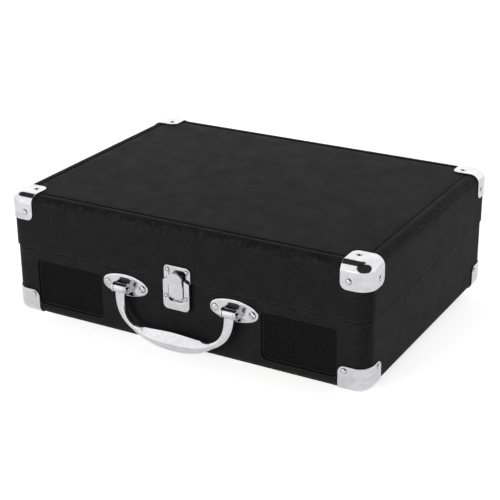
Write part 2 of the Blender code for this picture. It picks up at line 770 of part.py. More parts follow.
def deck(root):
    well_r = mm(19.5)
    well_floor = mm(54.4)
    size = (CASE_W - 2 * (WALL + GAP), CASE_D - 2 * (WALL + GAP), DECK_T)
    middle = DECK_TOP - DECK_T / 2
    top = block("deck_plate", size, BLACK_PLASTIC, root, (0, 0, middle), upright_r=UPRIGHT_R - WALL)
    cup_depth = DECK_TOP - mm(52.6) - DECK_T / 2
    cup_at = ADAPTER_AT + Vector((0, 0, mm(52.6) + cup_depth / 2))
    join(top, drum("adapter_cup", well_r + mm(1.6), cup_depth, None, root, cup_at, sides=24))
    well_depth = mm(20)
    well_at = ADAPTER_AT + Vector((0, 0, well_floor + well_depth / 2))
    cut(top, drum("adapter_well", well_r, well_depth, None, root, well_at, sides=24))
    lifter_pin = lifter_pin_place()
    holes = (
        ("spindle_hole", SPINDLE, mm(4.2), 16),
        ("pulley_hole", pulley_place(), mm(9), 16),
        ("tonearm_hole", ARM_PIVOT, mm(4.5), 12),
        ("volume_hole", VOLUME_AT, mm(3.6), 12),
        ("selector_hole", SELECTOR_AT, mm(3.6), 12),
        ("phones_hole", PHONES_AT, mm(4.2), 12),
        ("lifter_hole", lifter_pin, mm(2.7), 12),
    )
    for name, at, radius, sides in holes:
        spot = (at[0], at[1], middle)
        cut(top, drum(name, radius, mm(8), None, root, spot, sides=sides))
    for name, at in (("speed_slot", SPEED_AT), ("auto_stop_slot", AUTO_STOP_AT)):
        cut(top, block(name, mm(13, 3.4, 8), None, root, (at[0], at[1], middle)))


def drive(root, platter, pulley):
    spindle = [
        (0, 82.5), (2.2, 82), (3.5, 79.5), (3.5, 61.9), (7, 61.9), (7, 61.3),
        (3.5, 61.3), (3.5, 58.2), (6.5, 58.2), (6.5, 55), (0, 55),
    ]
    turned("spindle", spindle, STEEL, root, SPINDLE, steps=16)
    bore = 3.9
    ring_r = BELT_RING_R * 1000
    rim = PLATTER_R * 1000
    top = PLATTER_TOP * 1000
    dish = [
        (bore, top), (rim - 1, top), (rim, top - 1), (rim, top - 9), (rim - 2, top - 9),
        (rim - 2, top - 2.5), (ring_r, top - 2.5), (ring_r, 63.2), (ring_r - 2.5, 63.2),
        (ring_r - 2.5, top - 2.5), (9, top - 2.5), (9, 62.2), (bore, 62.2),
    ]
    turned("platter", dish, BLACK_PLASTIC, platter, SPINDLE, steps=40, closed=True)
    mat = MAT_TOP * 1000
    felt = [(4.2, mat), (rim - 3, mat), (rim - 3, top + 0.3), (4.2, top + 0.3)]
    turned("slip_mat", felt, FELT, platter, SPINDLE, steps=40, closed=True)

    can = [(0, 46), (1.8, 46), (1.8, 58.2), (6, 58.2), (6, 56), (15, 56), (15, 36), (0, 36)]
    turned("motor", can, STEEL, root, pulley_place(), steps=20)
    groove = PULLEY_R * 1000
    wheel = [
        (0, 69.9), (groove + 2, 69.9), (groove + 2, 68.7), (groove, 68.7), (groove, 63.4),
        (groove + 2, 63.4), (groove + 2, 62), (1.2, 62), (1.2, 47), (0, 47),
    ]
    turned("motor_pulley", wheel, SILVER_PLASTIC, pulley, pulley_place(), steps=16)

    loops = [belt_loop(GAP + BELT_T), belt_loop(GAP)]
    at = SPINDLE + Vector((0, 0, (BELT_LOW + BELT_HIGH) / 2))
    plate("drive_belt", loops, BELT_HIGH - BELT_LOW, RUBBER, root, at, (0, 0, PULLEY_BEARING))


def belt_loop(off):
    """The open belt's line at a distance from the ring and the pulley, with the pulley along +X."""
    big = BELT_RING_R + off
    small = PULLEY_R + off
    lean = math.acos((big - small) / PULLEY_FROM_SPINDLE)
    around_ring = arc((0, 0), big, lean, math.tau - lean, 30)
    around_pulley = arc((PULLEY_FROM_SPINDLE, 0), small, -lean, lean, 8)
    return around_ring + around_pulley


def electronics(root):
    board = block("circuit_board", mm(90, 42, 1.6), BOARD_GREEN, root, mm(55, 91, 16.8))
    post_low = FLOOR_TOP + GAP
    post_high = mm(16.4)
    for i, (x, y) in enumerate(((15, 74), (95, 74), (15, 108), (95, 108))):
        post_at = (mm(x), mm(y), (post_low + post_high) / 2)
        join(board, drum(f"board_post_{i}", mm(3), post_high - post_low, None, root, post_at, sides=8))
    for i, (x, y, radius, height) in enumerate(((30, 82, 5, 14), (44, 82, 4, 11), (76, 100, 3.5, 9))):
        at = mm(x, y, 17 + height / 2)
        join(board, drum(f"capacitor_{i}", mm(radius), mm(height), None, root, at, sides=12))
    join(board, block("amplifier_chip", mm(18, 12, 9), None, root, mm(58, 98, 21.6)))
    join(board, block("heat_sink", mm(4, 26, 18), None, root, mm(86, 86, 26)))

    panel_t = mm(1.5)
    panel_y = BASE_REAR + GAP + panel_t / 2
    size = (2 * TERMINAL_HALF_W, 2 * TERMINAL_HALF_H, panel_t)
    at = (TERMINAL_X, panel_y, TERMINAL_Z)
    turn = AXIS_TURN["REAR"]
    panel = block("terminal_panel", size, BLACK_PLASTIC, root, at, turn, upright_r=mm(4), steps=3)
    sockets = (TERMINAL_X + mm(8), TERMINAL_X + mm(8) + RCA_SPACING)
    for i, x in enumerate(sockets):
        hole = drum(f"rca_hole_{i}", mm(4.8), mm(8), None, root, (x, panel_y, TERMINAL_Z), "REAR")
        cut(panel, hole)
    inlet_x = TERMINAL_X - mm(30)
    inlet_hole = drum("inlet_hole", mm(5.2), mm(8), None, root, (inlet_x, panel_y, TERMINAL_Z), "REAR")
    cut(panel, inlet_hole)

    inside = BASE_REAR - mm(1)
    body_at = (sum(sockets) / 2, inside - mm(6), TERMINAL_Z)
    body = block("rca_socket_block", mm(30, 12, 13), BLACK_PLASTIC, root, body_at)
    for i, x in enumerate(sockets):
        length = BASE_REAR + RCA_OUT - inside + mm(1)
        mid_y = BASE_REAR + RCA_OUT - length / 2
        at = (x, mid_y, TERMINAL_Z)
        join(body, drum(f"rca_barrel_{i}", mm(4.2), length, None, root, at, "REAR", 16))
        mouth_at = (x, BASE_REAR + RCA_OUT, TERMINAL_Z)
        cut(body, drum(f"rca_mouth_{i}", mm(1.6), mm(14), None, root, mouth_at, "REAR", 12))

    jack = [(0, -1), (1.1, -1), (1.1, -10), (2.8, -10), (2.8, 0), (4.8, 0), (4.8, -15), (0, -15)]
    inlet_at = (inlet_x, BASE_REAR + mm(2.2), TERMINAL_Z)
    turned("dc_inlet", jack, BLACK_PLASTIC, root, inlet_at, "REAR", steps=16)

    phones = [
        (0, 48), (1.8, 48), (1.8, 62.6), (5, 62.6), (5.6, 62), (5.6, 61.3), (3.8, 61.3), (3.8, 45), (0, 45),
    ]
    turned("headphone_socket", phones, STEEL, root, PHONES_AT, steps=16)


# ---------------------------------------------------------------- tonearm


def along_head(distance, across=0.0, height=0.0):
    """A point of the headshell's own line, which starts at the arm's end and turns inwards."""
    heading = Vector((-math.sin(HEAD_OFFSET), -math.cos(HEAD_OFFSET), 0))
    sideways = Vector((math.cos(HEAD_OFFSET), -math.sin(HEAD_OFFSET), 0))
    start = ARM_PIVOT - Vector((0, HEAD_START, 0))
    return start + heading * distance + sideways * across + Vector((0, 0, height))


def tonearm(root, yoke, arm):
    foot = [(3.6, 76), (15, 76), (17, 74), (17.5, 63.5), (18.5, 61.3), (3.6, 61.3)]
    spot = Vector((ARM_PIVOT.x, ARM_PIVOT.y, 0))
    base = turned("tonearm_base", foot, BLACK_PLASTIC, root, spot, steps=24, closed=True)
    ear_high = CUE_PIVOT.z + mm(3.6)
    ear_low = DECK_TOP + GAP
    ear = (mm(9.5), mm(9), ear_high - ear_low)
    ear_at = (mm(142.5), CUE_PIVOT.y, (ear_high + ear_low) / 2)
    join(base, block("cue_ear", ear, None, root, ear_at))
    bore_at = (mm(146), CUE_PIVOT.y, CUE_PIVOT.z)
    cut(base, drum("cue_bore", mm(1.7), mm(7), None, root, bore_at, "X", 12))

    table = [(0, 79.5), (14, 79.5), (14, 76.3), (3, 76.3), (3, 53), (0, 53)]
    fork = turned("tonearm_yoke", table, SILVER_PLASTIC, yoke, spot, steps=24)
    cheek_low = mm(78.5)
    cheek_high = ARM_PIVOT.z + mm(4.6)
    for end in (-1, 1):
        cheek = (mm(2), mm(9), cheek_high - cheek_low)
        cheek_at = (ARM_PIVOT.x + end * mm(7.6), ARM_PIVOT.y, (cheek_low + cheek_high) / 2)
        join(fork, block(f"cheek_{end}", cheek, None, yoke, cheek_at))
    cut(fork, drum("cheek_bore", mm(1.7), mm(24), None, yoke, ARM_PIVOT, "X", 12))

    rear = mm(34)
    length = ARM_END + rear
    tube_at = ARM_PIVOT + Vector((0, rear - length / 2, 0))
    tube = drum("tonearm_tube", ARM_R, length, SILVER_PLASTIC, arm, tube_at, "FRONT", 12)
    join(
        tube,
        block("arm_block", mm(12, 14, 9), None, arm, ARM_PIVOT),
        drum("arm_pin", mm(1.3), mm(18.6), None, arm, ARM_PIVOT, "X", 12),
    )
    weight = [(3.95, 0), (7.7, 0), (8.5, -0.8), (8.5, -13.2), (7.7, -14), (3.95, -14)]
    weight_at = ARM_PIVOT + mm(0, 17, 0)
    turned("counterweight", weight, STEEL, arm, weight_at, "FRONT", steps=20, closed=True)

    turn = (0, 0, -HEAD_OFFSET)
    head_length = mm(39)
    head_at = along_head(mm(0.4) + head_length / 2)
    size = (mm(17), head_length, mm(8))
    block("headshell", size, BLACK_PLASTIC, arm, head_at, turn, upright_r=mm(3), top_r=mm(1.5), steps=3)
    cartridge_at = along_head(mm(26), 0, mm(-7))
    cartridge = block("cartridge", mm(13, 22, 5.4), RED_PLASTIC, arm, cartridge_at, turn)
    tip_at = along_head(STYLUS_ALONG, 0, mm(-10.6))
    join(cartridge, drum("stylus", mm(0.35), mm(2.4), None, arm, tip_at, sides=8, top=mm(1.5)))


def lifter_pin_place():
    angle = LIFTER_PIN_ANGLE
    return ARM_PIVOT + Vector((-LIFTER_R * math.sin(angle), -LIFTER_R * math.cos(angle), 0))


def arm_support(root, lifter, cue, clip):
    """The rest that the arm lies on, its clip, the cue lever and the curved platform that it lifts."""
    rest_y = ARM_PIVOT.y - REST_FROM_PIVOT
    shelf_top = ARM_PIVOT.z - ARM_R - mm(0.5)
    post_low = DECK_TOP + GAP
    post_high = shelf_top - mm(2)
    post = (mm(8), mm(7.2), post_high - post_low)
    post_at = (ARM_PIVOT.x + mm(7), rest_y, (post_high + post_low) / 2)
    rest = block("arm_rest", post, BLACK_PLASTIC, root, post_at)
    shelf = mm(18, 8, 4)
    shelf_at = (ARM_PIVOT.x + mm(2.5), rest_y, shelf_top - shelf.z / 2)
    wall = mm(2.2, 7.6, 6)
    wall_at = (ARM_PIVOT.x + mm(5.6), rest_y, shelf_top + wall.z / 2 - mm(2))
    join(
        rest,
        block("rest_shelf", shelf, None, root, shelf_at),
        block("rest_wall", wall, None, root, wall_at),
    )
    hinge_at = ARM_PIVOT + CLIP_PIVOT_FROM_ARM + Vector((0, rest_y - ARM_PIVOT.y, 0))
    for end in (-1, 1):
        lug = mm(6.4, 1.9, 11.5)
        lug_at = (hinge_at.x + mm(0.2), rest_y + end * mm(3.05), hinge_at.z - mm(3))
        join(rest, block(f"clip_lug_{end}", lug, None, root, lug_at))
    cut(rest, drum("clip_bore", mm(1.35), mm(12), None, root, hinge_at, "FRONT", 12))

    # the clip stands open: its shapes are laid out shut and hang from a turned holder
    arm_size = mm(17.5, 3.2, 1.6)
    hub = drum("arm_clip", mm(2.5), mm(3.2), BLACK_PLASTIC, clip, hinge_at, "FRONT", 12)
    holder = pivot("clip_holder", hinge_at, clip)
    holder.rotation_euler = (0, CLIP_OPEN, 0)
    join(
        hub,
        drum("clip_pin", mm(1.0), mm(7.6), None, holder, hinge_at, "FRONT", 12),
        block("clip_arm", arm_size, None, holder, hinge_at + mm(-8.75, 0, 2.8)),
        block("clip_lip", mm(1.6, 3.2, 5.2), None, holder, hinge_at + mm(-16.7, 0, 0.6)),
    )

    # the platform's arc runs from behind the resting arm to past the innermost groove
    before = -math.pi / 2 + math.radians(9)
    past = -math.pi / 2 - math.radians(50)
    outer = arc((0, 0), LIFTER_R + mm(2), past, before, 10)
    inner = arc((0, 0), LIFTER_R - mm(2), before, past, 10)
    thickness = mm(1.6)
    platform_at = (ARM_PIVOT.x, ARM_PIVOT.y, shelf_top - thickness / 2)
    platform = plate("arm_lifter", [outer + inner], thickness, BLACK_PLASTIC, lifter, platform_at)
    pin = lifter_pin_place()
    pin_high = shelf_top - thickness / 2
    pin_at = (pin.x, pin.y, (pin_high + STEM_LOW) / 2)
    join(platform, drum("lifter_pin", mm(2), pin_high - STEM_LOW, None, lifter, pin_at, sides=12))

    lever = drum("cue_lever", mm(4.5), mm(3.6), SILVER_PLASTIC, cue, CUE_PIVOT, "X", 16)
    join(
        lever,
        drum("cue_pin", mm(1.3), mm(5), None, cue, CUE_PIVOT - mm(4, 0, 0), "X", 12),
        block("cue_arm", mm(2.4, 24, 3), None, cue, CUE_PIVOT + mm(0, -13, 0)),
        block("cue_pad", mm(6, 6, 2.4), None, cue, CUE_PIVOT + mm(0, -25, 0)),
    )


# ---------------------------------------------------------------- controls


def controls(volume, selector, speed, auto_stop, adapter):
    top = KNOB_TOP * 1000
    stem = STEM_LOW * 1000
    for name, group, at, radius in (
        ("volume_knob", volume, VOLUME_AT, 9.5),
        ("selector_knob", selector, SELECTOR_AT, 8.5),
    ):
        profile = [
            (0, top), (radius - 1.6, top), (radius - 0.8, top - 0.8), (radius, 61.7),
            (3, 61.7), (3, stem), (0, stem),
        ]
        turned(name, profile, BLACK_PLASTIC, group, at, steps=24)
    for name, group, at in (("speed_switch", speed, SPEED_AT), ("auto_stop_switch", auto_stop, AUTO_STOP_AT)):
        low = DECK_TOP + GAP
        cap = mm(8, 5, 3.4)
        slider = block(name, cap, BLACK_PLASTIC, group, (at[0], at[1], low + cap.z / 2))
        stalk = mm(3, 2.4, 7)
        join(slider, block(name + "_stalk", stalk, None, group, (at[0], at[1], low + mm(1) - stalk.z / 2)))
    puck = [(3.7, 66), (8, 66), (19, 64.8), (19, 54.8), (3.7, 54.8)]
    turned("adapter_45", puck, SILVER_PLASTIC, adapter, ADAPTER_AT, steps=24, closed=True)


def main():
    clear_scene()
    root = pivot(PARTS + "_root", (0, 0, 0))
    root.location = (0, CASE_Y, 0)
    hinge = Vector((0, HINGE_Y, SEAM_Z))
    stay_base = hinge + Vector((STAY_LOWER_X, *STAY_BASE))
    stay_lid = hinge + Vector((STAY_UPPER_X, *STAY_LID))
    lid = pivot("lid_pivot", hinge, root)
    yoke = pivot("arm_swing_pivot", ARM_PIVOT, root)
    rest_y = ARM_PIVOT.y - REST_FROM_PIVOT
    clip_at = ARM_PIVOT + CLIP_PIVOT_FROM_ARM + Vector((0, rest_y - ARM_PIVOT.y, 0))
    base_case(root)
    lid_case(lid)
    metal_corners(root, lid)
    feet(root)
    hinges(root, lid)
    latch(root, lid, pivot("latch_pivot", (0, LEVER_PIVOT_Y, LEVER_PIVOT_Z), root))
    lid_stay(
        root, lid, pivot("stay_lower_pivot", stay_base, root), pivot("stay_upper_pivot", stay_lid, lid)
    )
    handle_plates(root)
    carrying_handle(pivot("handle_pivot", (0, BASE_FRONT - HANDLE_OUT, HANDLE_Z), root))
    speakers(root)
    deck(root)
    drive(root, pivot("platter_pivot", SPINDLE, root), pivot("pulley_pivot", pulley_place(), root))
    electronics(root)
    tonearm(root, yoke, pivot("arm_lift_pivot", ARM_PIVOT, yoke))
    arm_support(
        root,
        pivot("lifter_pivot", lifter_pin_place(), root),
        pivot("cue_pivot", CUE_PIVOT, root),
        pivot("clip_pivot", clip_at, root),
    )
    controls(
        pivot("volume_pivot", VOLUME_AT, root),
        pivot("selector_pivot", SELECTOR_AT, root),
        pivot("speed_pivot", SPEED_AT, root),
        pivot("auto_stop_pivot", AUTO_STOP_AT, root),
        pivot("adapter_pivot", ADAPTER_AT, root),
    )


main()
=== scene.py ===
"""Looks for the suitcase record player: studio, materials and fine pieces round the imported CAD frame."""

import json
import math

import bmesh
import bpy
from mathutils import Matrix, Vector


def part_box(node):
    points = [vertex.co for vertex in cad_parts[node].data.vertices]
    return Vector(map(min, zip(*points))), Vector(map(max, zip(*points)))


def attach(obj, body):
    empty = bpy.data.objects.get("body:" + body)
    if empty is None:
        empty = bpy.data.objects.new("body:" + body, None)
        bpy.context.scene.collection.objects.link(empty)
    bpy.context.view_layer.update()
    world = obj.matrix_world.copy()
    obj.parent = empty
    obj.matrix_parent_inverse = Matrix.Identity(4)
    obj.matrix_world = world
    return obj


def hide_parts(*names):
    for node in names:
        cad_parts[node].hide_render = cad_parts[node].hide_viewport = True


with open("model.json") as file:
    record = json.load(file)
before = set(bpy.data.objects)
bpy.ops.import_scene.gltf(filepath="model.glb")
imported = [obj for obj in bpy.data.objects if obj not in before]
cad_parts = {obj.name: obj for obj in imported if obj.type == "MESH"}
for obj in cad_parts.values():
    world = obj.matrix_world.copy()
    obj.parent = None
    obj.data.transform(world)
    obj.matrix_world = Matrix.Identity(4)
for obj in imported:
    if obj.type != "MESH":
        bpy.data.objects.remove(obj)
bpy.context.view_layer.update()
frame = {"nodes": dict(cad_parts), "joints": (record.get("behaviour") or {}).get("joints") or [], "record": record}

MM = 0.001
TAU = math.tau
HALF_PI = math.pi / 2
NODES = frame["nodes"]
BODY_OF = {node: body for body, nodes in frame["record"]["behaviour"]["bodies"].items() for node in nodes}
SLOT_OF = {part["node"]: part["material_slot"] for part in frame["record"]["subparts"]}
PIVOT = {joint["name"]: Vector(joint["pos_m"]) for joint in frame["joints"] if "pos_m" in joint}
UP = Vector((0, 0, 1))
DOWN = Vector((0, 0, -1))
FRONT = Vector((0, -1, 0))
REAR = Vector((0, 1, 0))
RIGHT = Vector((1, 0, 0))


def mm(*values):
    """Millimetres to metres: one number, or a vector."""
    return values[0] * MM if len(values) == 1 else Vector(values) * MM


# ---------------------------------------------------------------- materials


def add(tree, kind, inputs=None, **settings):
    """A shader node with its settings; an input is a value or another node's output."""
    node = tree.nodes.new("ShaderNode" + kind)
    for key, value in settings.items():
        setattr(node, key, value)
    for key, value in (inputs or {}).items():
        if isinstance(value, bpy.types.NodeSocket):
            tree.links.new(value, node.inputs[key])
        else:
            node.inputs[key].default_value = value
    return node


def new_look(name, roughness, metallic=0.0, **sockets):
    """A Principled material, with the values that are the same all over set on its own sockets."""
    look = bpy.data.materials.new(name)
    look.use_nodes = True
    shader = look.node_tree.nodes["Principled BSDF"]
    shader.inputs["Roughness"].default_value = roughness
    shader.inputs["Metallic"].default_value = metallic
    for key, value in sockets.items():
        shader.inputs[key.replace("_", " ").title().replace("Ior", "IOR")].default_value = value
    return look, look.node_tree, shader


def in_mm(tree, stretch=(1, 1, 1)):
    """Object coordinates in millimetres, stretched if asked."""
    place = add(tree, "TexCoord")
    return add(
        tree,
        "Mapping",
        {"Vector": place.outputs["Object"], "Scale": [1000 * s for s in stretch]},
    ).outputs[0]


def noise(tree, at, size, detail=3.0, roughness=0.55, distortion=0.0):
    """Noise whose features are about size millimetres across."""
    inputs = {
        "Vector": at, "Scale": 1 / size, "Detail": detail, "Roughness": roughness, "Distortion": distortion,
    }
    return add(tree, "TexNoise", inputs).outputs[0]


def spread(tree, value, low, high, from_low=0.3, from_high=0.7):
    """Maps a texture's value onto a range."""
    inputs = {"Value": value, "From Min": from_low, "From Max": from_high, "To Min": low, "To Max": high}
    return add(tree, "MapRange", inputs).outputs[0]


def blend_colours(tree, factor, first, second):
    mix = add(tree, "Mix", {"Factor": factor}, data_type="RGBA")
    for index, colour in ((6, first), (7, second)):
        if isinstance(colour, bpy.types.NodeSocket):
            tree.links.new(colour, mix.inputs[index])
        else:
            mix.inputs[index].default_value = (*colour, 1)
    return mix.outputs[2]


def math_node(tree, operation, *values):
    node = add(tree, "Math", operation=operation)
    for i, value in enumerate(values):
        if isinstance(value, bpy.types.NodeSocket):
            tree.links.new(value, node.inputs[i])
        else:
            node.inputs[i].default_value = value
    return node.outputs[0]


def relief(tree, shader, height, depth_mm, strength=1.0):
    """Bump from a height texture, depth_mm deep."""
    bump = add(tree, "Bump", {"Height": height, "Distance": mm(depth_mm), "Strength": strength})
    tree.links.new(bump.outputs[0], shader.inputs["Normal"])


def wire(tree, shader, **links):
    for key, value in links.items():
        tree.links.new(value, shader.inputs[key.replace("_", " ").title()])


def leatherette_look(name, dark, light, cell=0.95, depth=0.09):
    """Pebble-grained vinyl: rounded cells with creases between, shade painted into the creases, rubbed smoother
    where wear is high.
    """
    look, tree, shader = new_look(name, 0.5, specular_ior_level=0.02)
    at = in_mm(tree)
    swirl = add(tree, "TexNoise", {"Vector": at, "Scale": 0.5}).outputs[1]
    warped = add(tree, "VectorMath", {0: at, 1: swirl})
    cells = add(tree, "TexVoronoi", {"Vector": warped.outputs[0], "Scale": 1 / cell}, feature="SMOOTH_F1")
    fine = noise(tree, at, 0.28, 2)
    broad = noise(tree, at, 14, 4)
    wear = add(tree, "Attribute", attribute_name="wear").outputs["Fac"]
    rubbed = math_node(tree, "MULTIPLY", wear, spread(tree, noise(tree, at, 5, 5), 0, 1, 0.45, 0.7))
    pebble = math_node(tree, "SUBTRACT", 1.0, cells.outputs["Distance"])
    height = math_node(tree, "ADD", pebble, math_node(tree, "MULTIPLY", fine, 0.35))
    mottled = blend_colours(tree, spread(tree, broad, 0, 1), dark, light)
    # painted shade: the creases between the pebbles are darkened in the colour
    crease = spread(tree, pebble, 0.75, 0, 0.3, 0.75)
    crease_shaded = blend_colours(tree, crease, mottled, [c * 0.45 for c in dark])
    worn = blend_colours(tree, math_node(tree, "MULTIPLY", rubbed, 0.5), crease_shaded, [c * 1.9 for c in light])
    polish = math_node(tree, "MULTIPLY", rubbed, 0.1)
    gloss = math_node(tree, "SUBTRACT", spread(tree, broad, 0.46, 0.58), polish)
    wire(tree, shader, base_color=worn, roughness=gloss)
    relief(tree, shader, height, depth)
    return look


def chrome_look(name, colour=(0.58, 0.58, 0.59), rough=(0.04, 0.12), waves=0.03):
    """Plated steel: mirror bright, a little wavy, with smears that dull it."""
    look, tree, shader = new_look(name, 0.06, 1.0)
    at = in_mm(tree)
    smear = noise(tree, in_mm(tree, (1, 0.6, 1.6)), 9, 5, 0.6, 0.8)
    pits = spread(tree, noise(tree, at, 0.35, 2), 0, 1, 0.62, 0.75)
    tint = blend_colours(tree, spread(tree, smear, 0, 1), colour, [c * 0.8 for c in colour])
    speckled = blend_colours(tree, math_node(tree, "MULTIPLY", pits, 0.3), tint, [c * 0.7 for c in colour])
    wire(tree, shader, base_color=speckled, roughness=spread(tree, smear, *rough))
    relief(tree, shader, noise(tree, at, 6, 2), waves)
    return look


def brushed_look(name, colour, along=(1, 1, 0.03), rough=(0.22, 0.4), metallic=1.0, depth=0.01):
    """Metal with fine brush lines, stretched along the axis whose factor is small."""
    look, tree, shader = new_look(name, 0.3, metallic)
    lines = noise(tree, in_mm(tree, along), 0.22, 4, 0.7)
    cloud = noise(tree, in_mm(tree), 7, 4)
    tone = blend_colours(tree, spread(tree, lines, 0, 1), [c * 0.8 for c in colour], colour)
    soiled = blend_colours(tree, spread(tree, cloud, 0, 0.4, 0.5, 0.75), tone, [c * 0.62 for c in colour])
    wire(tree, shader, base_color=soiled, roughness=spread(tree, lines, *rough))
    relief(tree, shader, lines, depth)
    return look


def moulded_look(name, colour, rough=(0.38, 0.55), grain=0.35, depth=0.02, metallic=0.0, **sockets):
    """Moulded or painted plastic: fine spark-eroded texture, slight cloudiness, hairline scuffs."""
    look, tree, shader = new_look(name, 0.45, metallic, **sockets)
    at = in_mm(tree)
    texture = noise(tree, at, grain, 3, 0.6)
    cloud = noise(tree, at, 11, 4)
    scuffs = spread(tree, noise(tree, in_mm(tree, (0.12, 1.6, 1)), 1.3, 3, 0.6, 1.5), 0, 1, 0.66, 0.74)
    dark = [c * 0.88 for c in colour]
    tone = blend_colours(tree, spread(tree, cloud, 0, 1), dark, [c * 1.1 for c in colour])
    faded = [min(1.0, c * 1.35 + 0.006) for c in colour]
    scuffed = blend_colours(tree, math_node(tree, "MULTIPLY", scuffs, 0.5), tone, faded)
    shine = math_node(tree, "ADD", spread(tree, cloud, *rough), math_node(tree, "MULTIPLY", scuffs, 0.08))
    wire(tree, shader, base_color=scuffed, roughness=shine)
    relief(tree, shader, texture, depth)
    return look


def felt_look(name, dark, light, depth=0.12):
    """Short-pile felt or flock: matted fibres in all directions."""
    sheen = {"sheen_weight": 0.35, "sheen_roughness": 0.5}
    look, tree, shader = new_look(name, 0.95, specular_ior_level=0.1, **sheen)
    at = in_mm(tree)
    fibres = noise(tree, in_mm(tree, (1, 0.3, 1)), 0.3, 5, 0.75, 2.0)
    crossed = noise(tree, in_mm(tree, (0.3, 1, 1)), 0.3, 5, 0.75, 2.0)
    pile = math_node(tree, "MAXIMUM", fibres, crossed)
    matted = noise(tree, at, 6, 4)
    tone = blend_colours(tree, spread(tree, pile, 0, 1, 0.4, 0.7), dark, light)
    wire(tree, shader, base_color=blend_colours(tree, spread(tree, matted, 0, 0.5), tone, dark))
    relief(tree, shader, pile, depth)
    return look


def woven_look(name, colour, pitch=0.5):
    """Plain-woven cloth: crossing threads."""
    look, tree, shader = new_look(name, 0.9, specular_ior_level=0.15)
    at = in_mm(tree)
    waves = []
    for direction in ("X", "Z"):
        inputs = {"Vector": at, "Scale": 0.3 / pitch, "Distortion": 0.3}
        waves.append(add(tree, "TexWave", inputs, bands_direction=direction).outputs[1])
    weave = math_node(tree, "MAXIMUM", *waves)
    wire(tree, shader, base_color=blend_colours(tree, weave, [c * 0.4 for c in colour], colour))
    relief(tree, shader, weave, 0.08)
    return look


def board_look(name):
    """Green solder mask over straight copper tracks, with a scatter of soldered pads."""
    look, tree, shader = new_look(name, 0.35, coat_weight=0.3, coat_roughness=0.2)
    at = in_mm(tree)
    inputs = {"Vector": at, "Scale": 0.28, "Randomness": 0.6}
    blocks = add(tree, "TexVoronoi", inputs, feature="DISTANCE_TO_EDGE", distance="EUCLIDEAN")
    tracks = spread(tree, blocks.outputs["Distance"], 1, 0, 0.02, 0.07)
    inputs = {"Vector": at, "Scale": 0.4, "Randomness": 0.35}
    pads = spread(tree, add(tree, "TexVoronoi", inputs).outputs["Distance"], 1, 0, 0.13, 0.16)
    mask = blend_colours(tree, tracks, (0.012, 0.1, 0.035), (0.03, 0.19, 0.07))
    wire(tree, shader, base_color=blend_colours(tree, pads, mask, (0.62, 0.6, 0.55)))
    relief(tree, shader, math_node(tree, "ADD", tracks, pads), 0.04)
    return look


VINYL = leatherette_look("leatherette", (0.0108, 0.0108, 0.0111), (0.015, 0.015, 0.0153))
CHROME = chrome_look("chrome")
BRUSHED = brushed_look("brushed_steel", (0.6, 0.6, 0.61))
STEEL = brushed_look("satin_steel", (0.5, 0.5, 0.51), (1, 1, 0.2), (0.25, 0.42))
PLASTIC = moulded_look("black_moulding", (0.02, 0.02, 0.022))
MESH = moulded_look(
    "black_mesh_paint", (0.005, 0.005, 0.0055), (0.5, 0.65), 0.2, 0.01, specular_ior_level=0.15
)
RUBBER = moulded_look("rubber", (0.022, 0.022, 0.022), (0.75, 0.9), 0.25, 0.03)
SILVER = moulded_look("silver_paint", (0.55, 0.55, 0.56), (0.28, 0.4), 0.2, 0.006, 0.7)
RED = moulded_look("red_moulding", (0.5, 0.025, 0.02), (0.2, 0.32), 0.8, 0.008)
BOARD = board_look("circuit_board")
FIBRE = moulded_look("fibreboard", (0.045, 0.038, 0.032), (0.75, 0.9), 0.6, 0.08)
FELT = felt_look("felt", (0.014, 0.014, 0.015), (0.05, 0.05, 0.052))
FLOCK = felt_look("flock_lining", (0.01, 0.01, 0.011), (0.028, 0.028, 0.03), 0.08)
CLOTH = woven_look("speaker_cloth", (0.012, 0.012, 0.012))
PRINT = moulded_look("white_print", (0.62, 0.62, 0.6), (0.5, 0.65), 0.3, 0.004)
BRASS = brushed_look("plated_contact", (0.72, 0.56, 0.3), (1, 0.2, 1), (0.18, 0.3))
SLOT_LOOKS = {
    "vinyl": VINYL, "chrome": CHROME, "steel": STEEL, "black_plastic": PLASTIC, "grille_mesh": MESH,
    "rubber": RUBBER, "silver_plastic": SILVER, "red_plastic": RED, "circuit_board": BOARD,
    "fibreboard": FIBRE, "felt": FELT,
}


# ---------------------------------------------------------------- shapes


def as_object(name, bm):
    mesh = bpy.data.meshes.new(name)
    bm.to_mesh(mesh)
    bm.free()
    obj = bpy.data.objects.new(name, mesh)
    bpy.context.scene.collection.objects.link(obj)
    return obj


def applied(obj):
    """Replaces the mesh by what its modifiers make of it."""
    graph = bpy.context.evaluated_depsgraph_get()
    mesh = bpy.data.meshes.new_from_object(obj.evaluated_get(graph))
    obj.modifiers.clear()
    obj.data = mesh
    return obj


def combine(obj, operation, *tools):
    """Booleans with each tool, which is then removed."""
    for tool in tools:
        step = obj.modifiers.new(operation, "BOOLEAN")
        step.operation = operation
        step.solver = "EXACT"
        step.object = tool
        applied(obj)
        bpy.data.objects.remove(tool, do_unlink=True)
    return obj


def softened(obj, width=0.25, segments=2, angle=35):
    """Rounds the sharp edges and merges the flat triangles between them."""
    bm = bmesh.new()
    bm.from_mesh(obj.data)
    bmesh.ops.remove_doubles(bm, verts=bm.verts, dist=1e-6)
    bmesh.ops.dissolve_limit(bm, angle_limit=math.radians(0.6), verts=bm.verts, edges=bm.edges)
    bm.to_mesh(obj.data)
    bm.free()
    step = obj.modifiers.new("soften", "BEVEL")
    step.width = mm(width)
    step.segments = segments
    step.limit_method = "ANGLE"
    step.angle_limit = math.radians(angle)
    step.miter_outer = "MITER_ARC"
    step.use_clamp_overlap = True
    return applied(obj)


